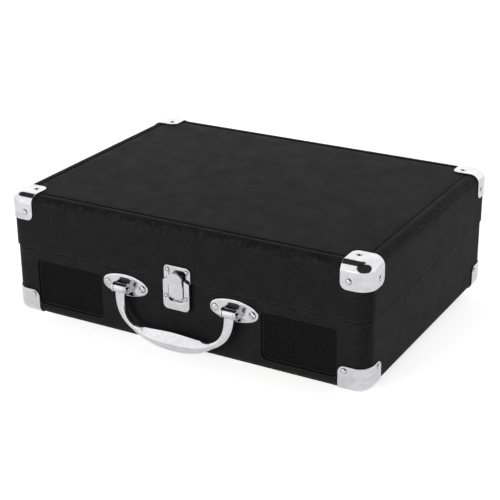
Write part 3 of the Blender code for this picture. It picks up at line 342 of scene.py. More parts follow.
def dressed(obj, looks, body, replaces=(), smooth=38):
    """Gives a finished shape its materials, shading, body and the CAD nodes that it stands for."""
    obj.data.materials.clear()
    for look in looks if isinstance(looks, (list, tuple)) else [looks]:
        obj.data.materials.append(look)
    obj.data.shade_smooth()
    obj.data.set_sharp_from_angle(angle=math.radians(smooth))
    # large flat faces keep their own normals, so that only the rounded edges shade round
    step = obj.modifiers.new("normals", "WEIGHTED_NORMAL")
    step.keep_sharp = True
    applied(obj)
    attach(obj, body)
    if replaces:
        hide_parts(*replaces)
    return obj


def merged(name, parts):
    """One object from several."""
    bm = bmesh.new()
    for part in parts:
        part.data.transform(part.matrix_world)
        bm.from_mesh(part.data)
        bpy.data.objects.remove(part, do_unlink=True)
    return as_object(name, bm)


def fixings(name, parts, look, body):
    """Several small pieces as one dressed object."""
    return dressed(merged(name, parts), look, body)


def skin(name, rings, wear=None, loop=False, caps=True):
    """A surface over rings of equal count. wear gives each ring's value of the wear attribute."""
    bm = bmesh.new()
    layer = bm.verts.layers.float.new("wear")
    rows = []
    for i, ring in enumerate(rings):
        row = [bm.verts.new(point) for point in ring]
        for vert in row:
            vert[layer] = wear[i] if wear else 0.0
        rows.append(row)
    count = len(rows[0])
    pairs = list(zip(rows, rows[1:]))
    if loop:
        pairs.append((rows[-1], rows[0]))
    for row, following in pairs:
        for i in range(count):
            j = (i + 1) % count
            bm.faces.new((row[i], row[j], following[j], following[i]))
    if caps and not loop:
        bm.faces.new(rows[0])
        bm.faces.new(rows[-1])
    bmesh.ops.remove_doubles(bm, verts=bm.verts, dist=1e-7)
    bmesh.ops.recalc_face_normals(bm, faces=bm.faces)
    return as_object(name, bm)


def turn_to(direction):
    """The rotation that carries +Z onto a direction."""
    return UP.rotation_difference(Vector(direction)).to_matrix().to_4x4()


def lathe(name, profile, at, direction=UP, steps=64, loop=False, flutes=(0, 0, 0, 0)):
    """A turned shape: profile lists (radius, height) in millimetres about an axis through a point.

    flutes gives a number of teeth, their depth, and the first and last row that they scallop.
    """
    place = Matrix.Translation(at) @ turn_to(direction)
    teeth, depth, first, last = flutes
    count = 4 * teeth or steps
    rings = []
    for row, (radius, height) in enumerate(profile):
        ring = []
        for i in range(count):
            angle = TAU * i / count
            bite = depth * (0.5 - 0.5 * math.cos(angle * teeth)) if first <= row <= last else 0.0
            r = max(radius - bite, 0.0005)
            ring.append(place @ mm(r * math.cos(angle), r * math.sin(angle), height))
        rings.append(ring)
    return skin(name, rings, loop=loop)


def arc(centre, radius, first, last, count):
    """Points on a circle between two angles in degrees, both included."""
    angles = [math.radians(first + (last - first) * i / count) for i in range(count + 1)]
    return [(centre[0] + radius * math.cos(a), centre[1] + radius * math.sin(a)) for a in angles]


def rounded_loop(low, high, radii, steps=10):
    """A rectangle's outline; the radii start at its lower left corner and go round anticlockwise."""
    centres = (
        (low[0] + radii[0], low[1] + radii[0]),
        (high[0] - radii[1], low[1] + radii[1]),
        (high[0] - radii[2], high[1] - radii[2]),
        (low[0] + radii[3], high[1] - radii[3]),
    )
    loop = []
    for i, centre in enumerate(centres):
        if radii[i] > 0:
            loop += arc(centre, radii[i], 180 + 90 * i, 270 + 90 * i, steps)
        else:
            loop.append(centre)
    return loop


def slab(name, loop, back, front, facing=FRONT):
    """A flat plate in metres: its outline is (x, z), or (x, y) if it faces UP, or (y, z) if RIGHT."""
    bm = bmesh.new()
    rows = []
    for depth in (back, front):
        if facing == UP:
            rows.append([bm.verts.new((x, y, depth)) for x, y in loop])
        elif facing == RIGHT:
            rows.append([bm.verts.new((depth, y, z)) for y, z in loop])
        else:
            rows.append([bm.verts.new((x, depth, z)) for x, z in loop])
    count = len(loop)
    for i in range(count):
        j = (i + 1) % count
        bm.faces.new((rows[0][i], rows[0][j], rows[1][j], rows[1][i]))
    bm.faces.new(rows[0])
    bm.faces.new(rows[1])
    bmesh.ops.recalc_face_normals(bm, faces=bm.faces)
    return as_object(name, bm)


def brick(name, low, high):
    """A plain box between two corners, as a tool or a part of a larger shape."""
    bm = bmesh.new()
    bmesh.ops.create_cube(bm, size=1.0)
    size = Vector(high) - Vector(low)
    bmesh.ops.scale(bm, vec=size, verts=bm.verts)
    bmesh.ops.translate(bm, vec=(Vector(high) + Vector(low)) / 2, verts=bm.verts)
    return as_object(name, bm)


def rod(name, radius, start, stop, steps=32):
    """A round bar between two points."""
    start = Vector(start)
    along = Vector(stop) - start
    return lathe(name, [(radius / MM, 0), (radius / MM, along.length / MM)], start, along, steps)


def refined(node, width=0.3, segments=2, angle=35, look=None, smooth=38, more=None):
    """A copy of a CAD node with rounded edges, which stands for it."""
    source = NODES[node]
    obj = bpy.data.objects.new(node + "_fine", source.data.copy())
    bpy.context.scene.collection.objects.link(obj)
    if more:
        more(obj)
    softened(obj, width, segments, angle)
    return dressed(obj, look or SLOT_LOOKS[SLOT_OF[node]], BODY_OF[node], [node], smooth)


def domed(radius, height, at, direction, steps=24, name="rivet"):
    """A rivet's head: a low dome with a rounded rim."""
    profile = [(radius, -0.05), (radius, height * 0.25)]
    for i in range(1, 7):
        angle = HALF_PI * i / 6
        profile.append((radius * 0.97 * math.cos(angle), height * (0.3 + 0.7 * math.sin(angle))))
    return lathe(name, profile, at, direction, steps)


def slotted(radius, height, at, direction, spin=30, steps=28, cross=False):
    """A domed screw head with a slot, or with a cross."""
    head = domed(radius, height, at, direction, steps, "screw")
    place = Matrix.Translation(at) @ turn_to(direction)
    reach = radius * (0.62 if cross else 1.2)
    half_slot = radius * 0.13
    for angle in (spin, spin + 90) if cross else (spin,):
        cutter = brick("slot", mm(-reach, -half_slot, height * 0.35), mm(reach, half_slot, height * 2))
        cutter.data.transform(place @ Matrix.Rotation(math.radians(angle), 4, "Z"))
        combine(head, "DIFFERENCE", cutter)
    return head


# ---------------------------------------------------------------- case

CASE_R = 12.5
WALL = 6
BASE_EDGE_R = 7
LID_EDGE_R = 8
CORNER_REACH = mm(25.5, 25.5, 22.5)
CORNER_INSIDE = 0.3
CORNER_OUTSIDE = 1.1
BASE_LO, BASE_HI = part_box("base_shell")
LID_LO, LID_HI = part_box("lid_shell")
MIDDLE = (BASE_LO + BASE_HI) / 2


def case_ring(half, inset, height, steps=12):
    """The case's outline, inset from its outer wall, at a height."""
    radius = mm(max(CASE_R - inset, 0.6))
    w = half.x - mm(inset)
    d = half.y - mm(inset)
    low = (MIDDLE.x - w, MIDDLE.y - d)
    high = (MIDDLE.x + w, MIDDLE.y + d)
    return [Vector((x, y, height)) for x, y in rounded_loop(low, high, [radius] * 4, steps)]


def case_shape(name, half, profile, loop):
    """profile lists (inset, height, wear) in millimetres."""
    rings = [case_ring(half, inset, mm(height)) for inset, height, _ in profile]
    return skin(name, rings, [worn for _, _, worn in profile], loop)


def arc_profile(centre, radius, first, last, count, worn):
    points = arc(centre, radius, first, last, count)
    edge = [math.sin(math.pi * i / count) for i in range(count + 1)]
    return [(x, z, worn * e) for (x, z), e in zip(points, edge)]


def rim_roll(outer, inner, z, up):
    """The rounded edge of a wall, from its outer face over to its inner face."""
    roll = 0.8
    outside = arc((outer + roll, z - up * roll), roll, 180, 180 - up * 90, 4)
    inside = arc((inner - roll, z - up * roll), roll, up * 90, 0, 4)
    return [(x, height, 0.5) for x, height in outside + inside]


def line_inner_faces(obj, half, inset):
    """Gives faces that stand inside the wall the second material."""
    limit = Vector((half.x - mm(inset), half.y - mm(inset)))
    for face in obj.data.polygons:
        centre = face.center - MIDDLE
        if abs(centre.x) < limit.x and abs(centre.y) < limit.y:
            face.material_index = 1


def build_base():
    half = (BASE_HI - BASE_LO) / 2
    bottom = BASE_LO.z / MM
    rim = BASE_HI.z / MM
    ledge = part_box("deck_plate")[1].z / MM - 2.8
    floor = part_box("bottom_panel")[1].z / MM + 0.3
    edge_r = BASE_EDGE_R
    profile = [(0, bottom + edge_r + 6, 0), (0, rim - 4, 0), (0, rim - 1.6, 0.2)]
    profile += rim_roll(0, WALL, rim, 1)
    profile += [(WALL, rim - 1.5, 0), (WALL, ledge, 0), (WALL + 3, ledge, 0), (WALL + 3, floor, 0)]
    # the wall's foot lies within the bottom edge's rounding
    foot = edge_r - math.sqrt(edge_r**2 - (edge_r - WALL) ** 2)
    profile += [(WALL, floor, 0), (WALL, bottom + foot, 0)]
    turn = math.degrees(math.acos((edge_r - WALL) / edge_r))
    profile += arc_profile((edge_r, bottom + edge_r), edge_r, 180 + turn, 180, 8, 1)[1:]
    shell = case_shape("base_case", half, profile, True)
    for side in ("left", "right"):
        low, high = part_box("speaker_grille_" + side)
        margin = mm(0.3)
        loop = rounded_loop(
            (low.x - margin, low.z - margin), (high.x + margin, high.z + margin), [mm(5)] * 4, 8
        )
        front = MIDDLE.y - half.y
        combine(shell, "DIFFERENCE", slab("window", loop, front + mm(20), front - mm(5)))
    low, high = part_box("terminal_panel")
    inner = mm(4)
    loop = rounded_loop((low.x + inner, low.z + inner), (high.x - inner, high.z - inner), [mm(3)] * 4, 6)
    rear = MIDDLE.y + half.y
    combine(shell, "DIFFERENCE", slab("window", loop, rear + mm(5), rear - mm(20)))
    softened(shell, 0.5, 3, 50)
    dressed(shell, [VINYL, FLOCK], "base", ["base_shell"])
    line_inner_faces(shell, half, WALL - 0.1)
    return shell


def build_lid():
    half = (LID_HI - LID_LO) / 2
    rim = LID_LO.z / MM
    top = LID_HI.z / MM
    ceiling = top - 5
    edge_r = LID_EDGE_R
    profile = [(WALL + 6, ceiling, 0)]
    profile += [(x, z, 0) for x, z in arc((WALL + 3, ceiling - 3), 3, 90, 180, 5)]
    profile += [(WALL, rim + 1.6, 0)]
    profile += [(x, z, w) for x, z, w in reversed(rim_roll(0, WALL, rim, -1))]
    profile += [(0, rim + 1.6, 0.2), (0, rim + 5, 0), (0, top - edge_r - 5, 0)]
    profile += arc_profile((edge_r, top - edge_r), edge_r, 180, 90, 12, 1)
    # the covering's overlap leaves a soft crease round the top
    profile += [(9.6, top, 0.2), (10.5, top - 0.2, 0), (11.2, top - 0.8, 0)]
    profile += [(12.0, top - 0.8, 0), (12.8, top - 0.2, 0), (14.5, top, 0.1), (20, top, 0)]
    shell = case_shape("lid_case", half, profile, False)
    dressed(shell, [VINYL, FLOCK], "lid", ["lid_shell"])
    line_inner_faces(shell, half, WALL - 0.1)
    for face in shell.data.polygons:
        if face.center.z > mm(top - 1):
            face.material_index = 0
    return shell


def corner_form(half, grow, high, low, top_r):
    """The case grown on all sides, as a closed solid with a rounded top edge and a plain lower end."""
    high += grow
    top_r += grow
    profile = [(0, low), (0, high - top_r)]
    profile += arc((top_r, high - top_r), top_r, 180, 90, 10)[1:]
    wide = Vector((half.x + mm(grow), half.y + mm(grow), 0))
    radius = CASE_R + grow
    rings = []
    for inset, height in profile:
        r = mm(max(radius - inset, 0.6))
        w = wide.x - mm(inset)
        d = wide.y - mm(inset)
        low_at = (MIDDLE.x - w, MIDDLE.y - d)
        high_at = (MIDDLE.x + w, MIDDLE.y + d)
        loop = rounded_loop(low_at, high_at, [r] * 4, 12)
        rings.append([Vector((x, y, mm(height))) for x, y in loop])
    return skin("form", rings)


def build_corners():
    """One fine corner for the lid and one for the base, mirrored to all eight; rivets on each ear."""
    beyond = mm(6, 6, 6)
    ear_r = mm(6)
    lid_half = (LID_HI - LID_LO) / 2
    base_half = (BASE_HI - BASE_LO) / 2
    rivets = {"lid": [], "base": []}
    rivet_shade_discs = {"lid": [], "base": []}
    for kind, half, top_r, end, across, down in (
        ("lid", lid_half, LID_EDGE_R, LID_HI.z, 17.8, 14.8),
        ("base", base_half, BASE_EDGE_R, BASE_LO.z, 20.0, 18.4),
    ):
        # both are built as a top corner; the base's is then turned over
        high = end / MM if kind == "lid" else -end / MM
        outer = corner_form(half, CORNER_OUTSIDE, high, high - 60, top_r)
        inner = corner_form(half, CORNER_INSIDE, high, high - 70, top_r)
        edge = Vector((half.x, MIDDLE.y + half.y, mm(high)))
        bm = bmesh.new()
        bmesh.ops.create_cube(bm, size=1.0)
        side = CORNER_REACH + beyond
        bmesh.ops.scale(bm, vec=side, verts=bm.verts)
        centre = edge + beyond - side / 2
        inward = [e for e in bm.edges if sum(all(v.co[k] < 0 for v in e.verts) for k in range(3)) == 2]
        bmesh.ops.bevel(bm, geom=inward, offset=ear_r, segments=8, profile=0.5, affect="EDGES")
        bmesh.ops.translate(bm, vec=centre, verts=bm.verts)
        corner = as_object("corner", bm)
        combine(corner, "INTERSECT", outer)
        combine(corner, "DIFFERENCE", inner)
        softened(corner, 0.35, 3, 50)
        off = 1.05
        spots = (
            (edge + mm(off, -across, -down), RIGHT),
            (edge + mm(-across, off, -down), REAR),
            (edge + mm(-across, -across, off), UP),
        )
        rivet = merged("rivets", [domed(2.35, 1.1, at, out) for at, out in spots])
        # painted shade: a thin dark disc under each rivet head darkens the gap round it
        rivet_shade_disc = merged("rivet_shade_discs", [domed(2.85, 0.12, at, out) for at, out in spots])
        for x_side, x_name in ((-1, "left"), (1, "right")):
            for y_side, y_name in ((-1, "front"), (1, "rear")):
                flip = Matrix.Diagonal((x_side, y_side, 1 if kind == "lid" else -1, 1))
                about = Matrix.Translation((MIDDLE.x, MIDDLE.y, 0))
                place = about @ flip @ about.inverted()
                name = f"{kind}_{y_name}_{x_name}"
                targets = ((corner, "metal_corner_" + name), (rivet, "rivets"), (rivet_shade_disc, "rivet_shade_discs"))
                for source, target in targets:
                    copy = bpy.data.objects.new(target, source.data.copy())
                    bpy.context.scene.collection.objects.link(copy)
                    copy.data.transform(place)
                    if place.determinant() < 0:
                        copy.data.flip_normals()
                    if source == corner:
                        dressed(copy, CHROME, kind, [f"corner_{name}"])
                    else:
                        (rivets if source == rivet else rivet_shade_discs)[kind].append(copy)
        for source in (corner, rivet, rivet_shade_disc):
            bpy.data.objects.remove(source, do_unlink=True)
    for kind in ("lid", "base"):
        fixings(f"{kind}_corner_rivets", rivets[kind], CHROME, kind)
        # the dark discs are painted shade round the rivets
        fixings(f"{kind}_rivet_painted_shade", rivet_shade_discs[kind], PLASTIC, kind)


# ---------------------------------------------------------------- latch and handle


def build_latch():
    low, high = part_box("latch_plate")
    front_y = low.y
    half_w = high.x
    seam = (BASE_HI.z + LID_LO.z) / 2
    pocket = mm(7.6)
    shoulder = high.z - mm(3.2)
    loop = rounded_loop((low.x, low.z), (high.x, high.z), [mm(5), mm(5), 0, 0], 12)
    # the arms' outer corners are cut off slantwise, with the cut rounded a little
    loop[-2:] = [
        (half_w, shoulder), (half_w - mm(0.7), shoulder + mm(1.1)), (pocket, high.z),
        (-pocket, high.z), (-half_w + mm(0.7), shoulder + mm(1.1)), (-half_w, shoulder),
    ]
    tray = slab("latch_tray", loop, high.y, front_y)
    pivot = PIVOT["latch_flip"]
    pocket_loop = rounded_loop((-pocket, mm(52.5)), (pocket, high.z + mm(3)), [mm(4), mm(4), 0, 0], 10)
    combine(
        tray,
        "DIFFERENCE",
        slab("pocket", pocket_loop, BASE_LO.y - mm(1.3), front_y - mm(2)),
        brick(
            "strike_room", (-mm(20), BASE_LO.y - mm(2.7), seam - mm(1.2)), (mm(20), high.y + mm(5), mm(90))
        ),
    )
    softened(tray, 0.75, 4, 40)
    dressed(tray, CHROME, "base", ["latch_plate"])
    spots = [Vector((s * mm(9.9), front_y, pivot.z)) for s in (-1, 1)]
    heads = [domed(1.5, 0.5, at, FRONT) for at in spots]
    fixings("latch_tray_rivets", heads, CHROME, "base")
    # painted shade: thin dark discs under the rivet heads darken the gap round them
    rings = [domed(1.95, 0.1, at, FRONT) for at in spots]
    fixings("latch_tray_rivet_shade", rings, PLASTIC, "base")

    low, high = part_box("latch_strike")
    strike_front = LID_LO.y - mm(1.5)
    loop = rounded_loop((low.x, low.z), (high.x, high.z), [0, 0, mm(4), mm(4)], 10)
    strike = slab("latch_strike_plate", loop, high.y, strike_front)
    arch_low = (-mm(8.4), low.z - mm(2))
    arch = rounded_loop(arch_low, (mm(8.4), high.z - mm(3.4)), [0, 0, mm(5.5), mm(5.5)], 10)
    combine(strike, "DIFFERENCE", slab("arch", arch, strike_front + mm(0.6), strike_front - mm(2)))
    staple = brick("staple", (-mm(4), low.y, mm(71.45)), (mm(4), strike_front + mm(0.8), mm(72.95)))
    combine(strike, "UNION", staple)
    softened(strike, 0.3, 3, 40)
    dressed(strike, CHROME, "lid", ["latch_strike"])
    spots = [Vector((s * mm(9.3), strike_front, high.z - mm(3.9))) for s in (-1, 1)]
    heads = [domed(1.7, 0.7, at, FRONT) for at in spots]
    fixings("latch_strike_rivets", heads, CHROME, "lid")
    # painted shade: thin dark discs under the rivet heads darken the gap round them
    rings = [domed(2.2, 0.1, at, FRONT) for at in spots]
    fixings("latch_strike_rivet_shade", rings, PLASTIC, "lid")

    low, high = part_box("latch_lever")
    half = mm(7)
    step_z = mm(68.2)
    lower_back = pivot.y - mm(0.3)
    upper_back = pivot.y - mm(1.5)
    bottom = pivot.z - mm(1.2)
    lower = rounded_loop((-half, bottom), (half, step_z + mm(0.6)), [mm(3.6), mm(3.6), 0, 0], 10)
    upper = rounded_loop((-half, step_z - mm(0.4)), (half, high.z), [0, 0, mm(5.5), mm(5.5)], 12)
    lever = slab("latch_flip_lever", lower, lower_back, lower_back - mm(1.6))
    # the step between the halves is a slope, not a shelf
    upper_part = slab("upper", upper, upper_back, low.y)
    bm = bmesh.new()
    bm.from_mesh(upper_part.data)
    for vert in bm.verts:
        if vert.co.z < step_z and vert.co.y < low.y + mm(0.1):
            vert.co.y += mm(0.9)
    bm.to_mesh(upper_part.data)
    bm.free()
    nib = brick("nib", (-mm(3.5), upper_back - mm(0.5), mm(73.4)), (mm(3.5), pivot.y + mm(0.5), mm(74.8)))
    hub = rod("hub", mm(1.5), pivot - mm(6.5, 0, 0), pivot + mm(6.5, 0, 0), 24)
    pin = rod("pin", mm(0.9), pivot - mm(9.5, 0, 0), pivot + mm(9.5, 0, 0), 20)
    combine(lever, "UNION", upper_part, hub, pin, nib)
    softened(lever, 0.45, 3, 40)
    dressed(lever, BRUSHED, "latch_lever", ["latch_lever"])


def handle_half_sizes(share):
    """Half width across the bow, half thickness and the section's power, at a share of the bow."""
    out = abs(2 * share - 1)
    leaf = max(0.0, 1 - (out / 0.5) ** 2)
    flare = min(1.0, max(0.0, (out - 0.55) / 0.4))
    flare = flare * flare * (3 - 2 * flare)
    across = 2.8 + 5.9 * leaf + 1.9 * flare
    deep = 2.6 + 2.4 * leaf
    power = 2.3 - 1.25 * min(1.0, leaf * 2.2) + 2.6 * flare
    return mm(across), mm(deep), power


def build_handle():
    pivot = PIVOT["handle_swing"]
    low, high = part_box("handle")
    end_x = (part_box("handle_plate_right")[0].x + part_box("handle_plate_right")[1].x) / 2
    stations, sides = 110, 40
    drop_full = mm(36.2)
    middles = []
    for i in range(stations + 1):
        angle = math.pi * i / stations
        power = 2 / 3.0
        c, s = math.cos(angle), math.sin(angle)
        x = -end_x * math.copysign(abs(c) ** power, c)
        drop = drop_full * max(s, 0.0) ** power
        y = -mm(5.7) * (drop / drop_full) ** 1.5
        middles.append(Vector((x, y, -drop)))
    # even out the spacing along the bow
    lengths = [0.0]
    for a, b in zip(middles, middles[1:]):
        lengths.append(lengths[-1] + (b - a).length)
    even = []
    for i in range(stations + 1):
        target = lengths[-1] * i / stations
        k = max(j for j in range(len(lengths)) if lengths[j] <= target + 1e-12)
        k = min(k, stations - 1)
        share = (target - lengths[k]) / max(lengths[k + 1] - lengths[k], 1e-9)
        even.append(middles[k].lerp(middles[k + 1], share))
    rings = []
    for i, point in enumerate(even):
        ahead = even[min(i + 1, stations)] - even[max(i - 1, 0)]
        ahead.y = 0
        ahead.normalize()
        across = Vector((ahead.z, 0, -ahead.x))
        half, deep, power = handle_half_sizes(i / stations)
        ring = []
        for k in range(sides):
            turn = TAU * k / sides
            c, s = math.cos(turn), math.sin(turn)
            u = half * math.copysign(abs(c) ** (2 / power), c)
            v = deep * math.copysign(abs(s) ** (2 / power), s)
            ring.append(pivot + point + across * u + Vector((0, v, 0)))
        rings.append(ring)
    bow = skin("carrying_handle", rings)
    for side in (-1, 1):
        eye = pivot + Vector((side * end_x, 0, 0))
        combine(
            bow,
            "UNION",
            rod("eye", mm(4.3), eye - mm(5.2, 0, 0), eye + mm(5.2, 0, 0), 40),
            rod("pin", mm(1.8), eye - mm(8.5, 0, 0), eye + mm(8.5, 0, 0), 28),
        )
    dressed(bow, CHROME, "handle", ["handle"], 32)


def oval_loop(centre_x, centre_z, half_w, half_h, count=64):
    loop = []
    for i in range(count):
        angle = TAU * i / count
        c, s = math.cos(angle), math.sin(angle)
        x = half_w * math.copysign(abs(c) ** 1.1, c)
        z = half_h * math.copysign(abs(s) ** 0.8, s)
        loop.append((centre_x + x, centre_z + z))
    return loop


def build_handle_plates():
    """Domed oval plates with two ears each, painted shade round the eye, dimples and slotted screws."""
    pin = PIVOT["handle_swing"]
    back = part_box("handle_plate_left")[1].y
    for name in ("left", "right"):
        low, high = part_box("handle_plate_" + name)
        x = (low.x + high.x) / 2
        z = (low.z + high.z) / 2
        half_w = (high.x - low.x) / 2 / MM
        half_h = (high.z - low.z) / 2 / MM
        rings = []
        for inset, out in ((0, 0), (0, 0.3), (0.25, 0.7), (0.8, 1.0), (1.8, 1.2), (4.5, 1.35), (8, 1.4)):
            loop = oval_loop(x, z, mm(half_w - inset), mm(half_h - inset))
            rings.append([Vector((px, back - mm(out), pz)) for px, pz in loop])
        oval = skin("oval", rings)
        for end in (-1, 1):
            inside = x + end * mm(6.4) - mm(0.75)
            outside = inside + mm(1.5)
            ear_r = mm(4.6)
            tab = brick("ear", (inside, pin.y, z - ear_r), (outside, back - mm(0.2), z + ear_r))
            round_end = rod("ear_end", ear_r, (inside, pin.y, z), (outside, pin.y, z), 36)
            combine(oval, "UNION", tab, round_end)
        bore = rod("bore", mm(2.2), (x - mm(12), pin.y, z), (x + mm(12), pin.y, z), 24)
        combine(oval, "DIFFERENCE", bore)
        for dx, dz in ((9.4, 3.2), (9.2, -1.4), (9.6, -5.6)):
            spot = Vector((x + mm(dx), back - mm(1.9), z + mm(dz)))
            combine(oval, "DIFFERENCE", rod("dimple", mm(0.9), spot, spot + mm(0, 1.1, 0), 16))
        softened(oval, 0.3, 3, 40)
        dressed(oval, CHROME, "base", ["handle_plate_" + name])
        # painted shade: a thin black plate on the oval where shadow falls round the eye
        shade = slab(
            "shade",
            rounded_loop((x - mm(5.4), z - mm(5.2)), (x + mm(5.4), z + mm(7.2)), [mm(2)] * 4, 6),
            back - mm(1.2),
            back - mm(1.46),
        )
        dressed(shade, PLASTIC, "base")
        shade.name = f"handle_painted_shade_{name}"
        spots = [Vector((x + end * mm(17.6), back - mm(1.1), z)) for end in (-1, 1)]
        heads = [slotted(3.2, 1.3, at, FRONT, spin) for at, spin in zip(spots, (62, -48))]
        fixings(f"handle_screws_{name}", heads, CHROME, "base")
        # painted shade: thin dark discs under the screw heads darken the gap round them
        rings = [domed(3.7, 0.42, at, FRONT) for at in spots]
        fixings(f"handle_screw_painted_shade_{name}", rings, PLASTIC, "base")


# ---------------------------------------------------------------- grilles


def build_grilles():
    """Woven diagonal wire in a rolled frame, over black cloth."""
    pitch = 1.9
    wire_r = 0.36
    for side in ("left", "right"):
        low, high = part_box("speaker_grille_" + side)
        lo = Vector((low.x, low.z)) / MM
        hi = Vector((high.x, high.z)) / MM
        front = low.y / MM
        border = 1.3
        bm = bmesh.new()
        step = pitch * math.sqrt(2)
        for lean in (1, -1):
            width = hi.x - lo.x - 2 * border
            height = hi.y - lo.y - 2 * border
            count = int((width + height) / step) + 1
            for i in range(count + 1):
                # the wire's line is x = start + lean * rise, clipped to the frame's opening
                start = lo.x + border + i * step - (height if lean > 0 else 0)
                from_left = lo.x + border - start
                from_right = hi.x - border - start
                begin = max(0.0, from_left if lean > 0 else -from_right)
                stop = min(height, from_right if lean > 0 else -from_left)
                if stop - begin < pitch:
                    continue
                pieces = max(2, round((stop - begin) / (step / 2)))
                rows = []
                across = Vector((1, 0, -lean)).normalized()
                for k in range(pieces + 1):
                    rise = begin + (stop - begin) * k / pieces
                    x = start + lean * rise
                    wave = math.cos(math.pi * (x - lo.x) / (step / 2)) * 0.28 * lean
                    centre = Vector((x, front + 0.75 + wave, lo.y + border + rise))
                    row = []
                    for s in range(6):
                        angle = TAU * s / 6
                        out = across * math.cos(angle) + REAR * math.sin(angle)
                        row.append(bm.verts.new((centre + out * wire_r) * MM))
                    rows.append(row)
                for row, following in zip(rows, rows[1:]):
                    for s in range(6):
                        t = (s + 1) % 6
                        bm.faces.new((row[s], row[t], following[t], following[s]))
                bm.faces.new(rows[0])
                bm.faces.new(rows[-1])
        bmesh.ops.recalc_face_normals(bm, faces=bm.faces)
        wires = as_object("wires", bm)
        rings = []
        section = [
            (0, 1.4), (0, 0.5), (0.15, 0.15), (0.5, 0), (0.9, 0.1), (1.3, 0.45), (1.6, 0.9), (1.6, 1.4),
        ]
        for inset, depth in section:
            radius = max(4.7 - inset, 2.4)
            loop = rounded_loop(
                (lo.x + inset, lo.y + inset), (hi.x - inset, hi.y - inset), [radius] * 4, 8
            )
            rings.append([mm(px, front + depth, pz) for px, pz in loop])
        surround = skin("surround", rings, loop=True)
        grille = merged(f"grille_mesh_{side}", [wires, surround])
        dressed(grille, MESH, "base", ["speaker_grille_" + side])
        loop = rounded_loop((lo.x + 0.4, lo.y + 0.4), (hi.x - 0.4, hi.y - 0.4), [4.3] * 4, 8)
        loop = [(px * MM, pz * MM) for px, pz in loop]
        cloth = slab(f"grille_cloth_{side}", loop, high.y + mm(0.9), high.y + mm(0.2))
        dressed(cloth, CLOTH, "base")


# ---------------------------------------------------------------- turned pieces


def upright(node):
    """The point of the ground under a node's middle."""
    low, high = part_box(node)
    return Vector(((low.x + high.x) / 2, (low.y + high.y) / 2, 0))


def fine(obj, node, look=None, smooth=38):
    """Dresses a fine shape that stands for a node."""
    obj.name = node + "_fine"
    return dressed(obj, look or SLOT_LOOKS[SLOT_OF[node]], BODY_OF[node], [node], smooth)


def figures(text, size, at):
    """Printed figures that lie on the deck."""
    curve = bpy.data.curves.new("figures", "FONT")
    curve.body = text
    curve.size = mm(size)
    curve.extrude = mm(0.04)
    curve.align_x = "CENTER"
    curve.align_y = "CENTER"
    flat = bpy.data.objects.new("figures", curve)
    bpy.context.scene.collection.objects.link(flat)
    graph = bpy.context.evaluated_depsgraph_get()
    mesh = bpy.data.meshes.new_from_object(flat.evaluated_get(graph))
    bpy.data.objects.remove(flat, do_unlink=True)
    bm = bmesh.new()
    bm.from_mesh(mesh)
    bmesh.ops.translate(bm, vec=at, verts=bm.verts)
    return as_object("figures", bm)


# ---------------------------------------------------------------- underside, rear and lid furniture


def build_underside():
    profile = [
        (0, 3.2), (3.2, 3.2), (3.4, 3.0), (3.4, 0.3), (3.7, 0), (8.9, 0), (9.4, 0.15), (10, 0.8),
        (10.2, 1.6), (9.9, 1.9), (10.25, 2.3), (10.45, 3.2), (10.15, 3.5), (10.5, 3.9), (11, 5.4),
        (11, 5.7), (0, 5.7),
    ]
    screws = []
    for end in ("front", "rear"):
        for side in ("left", "right"):
            node = f"foot_{end}_{side}"
            fine(lathe(node, profile, upright(node), UP, 72), node)
            screws.append(slotted(2.7, 0.9, upright(node) + mm(0, 0, 3.2), DOWN, 20, cross=True))
    fixings("foot_screws", screws, STEEL, "base")

    low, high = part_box("bottom_panel")
    loop = rounded_loop((low.x, low.y), (high.x, high.y), [mm(6.5)] * 4, 10)
    fine(softened(slab("panel", loop, low.z, high.z, UP), 0.5, 3), "bottom_panel")
    spots = []
    for x in (-150, -50, 50, 150):
        for y in (low.y + mm(7), high.y - mm(7)):
            spots.append(Vector((mm(x), y, low.z)))
    spots += [Vector((side * mm(160), MIDDLE.y, low.z)) for side in (-1, 1)]
    heads = [slotted(2.6, 0.8, at, DOWN, 11 * i, cross=True) for i, at in enumerate(spots)]
    fixings("panel_screws", heads, STEEL, "base")


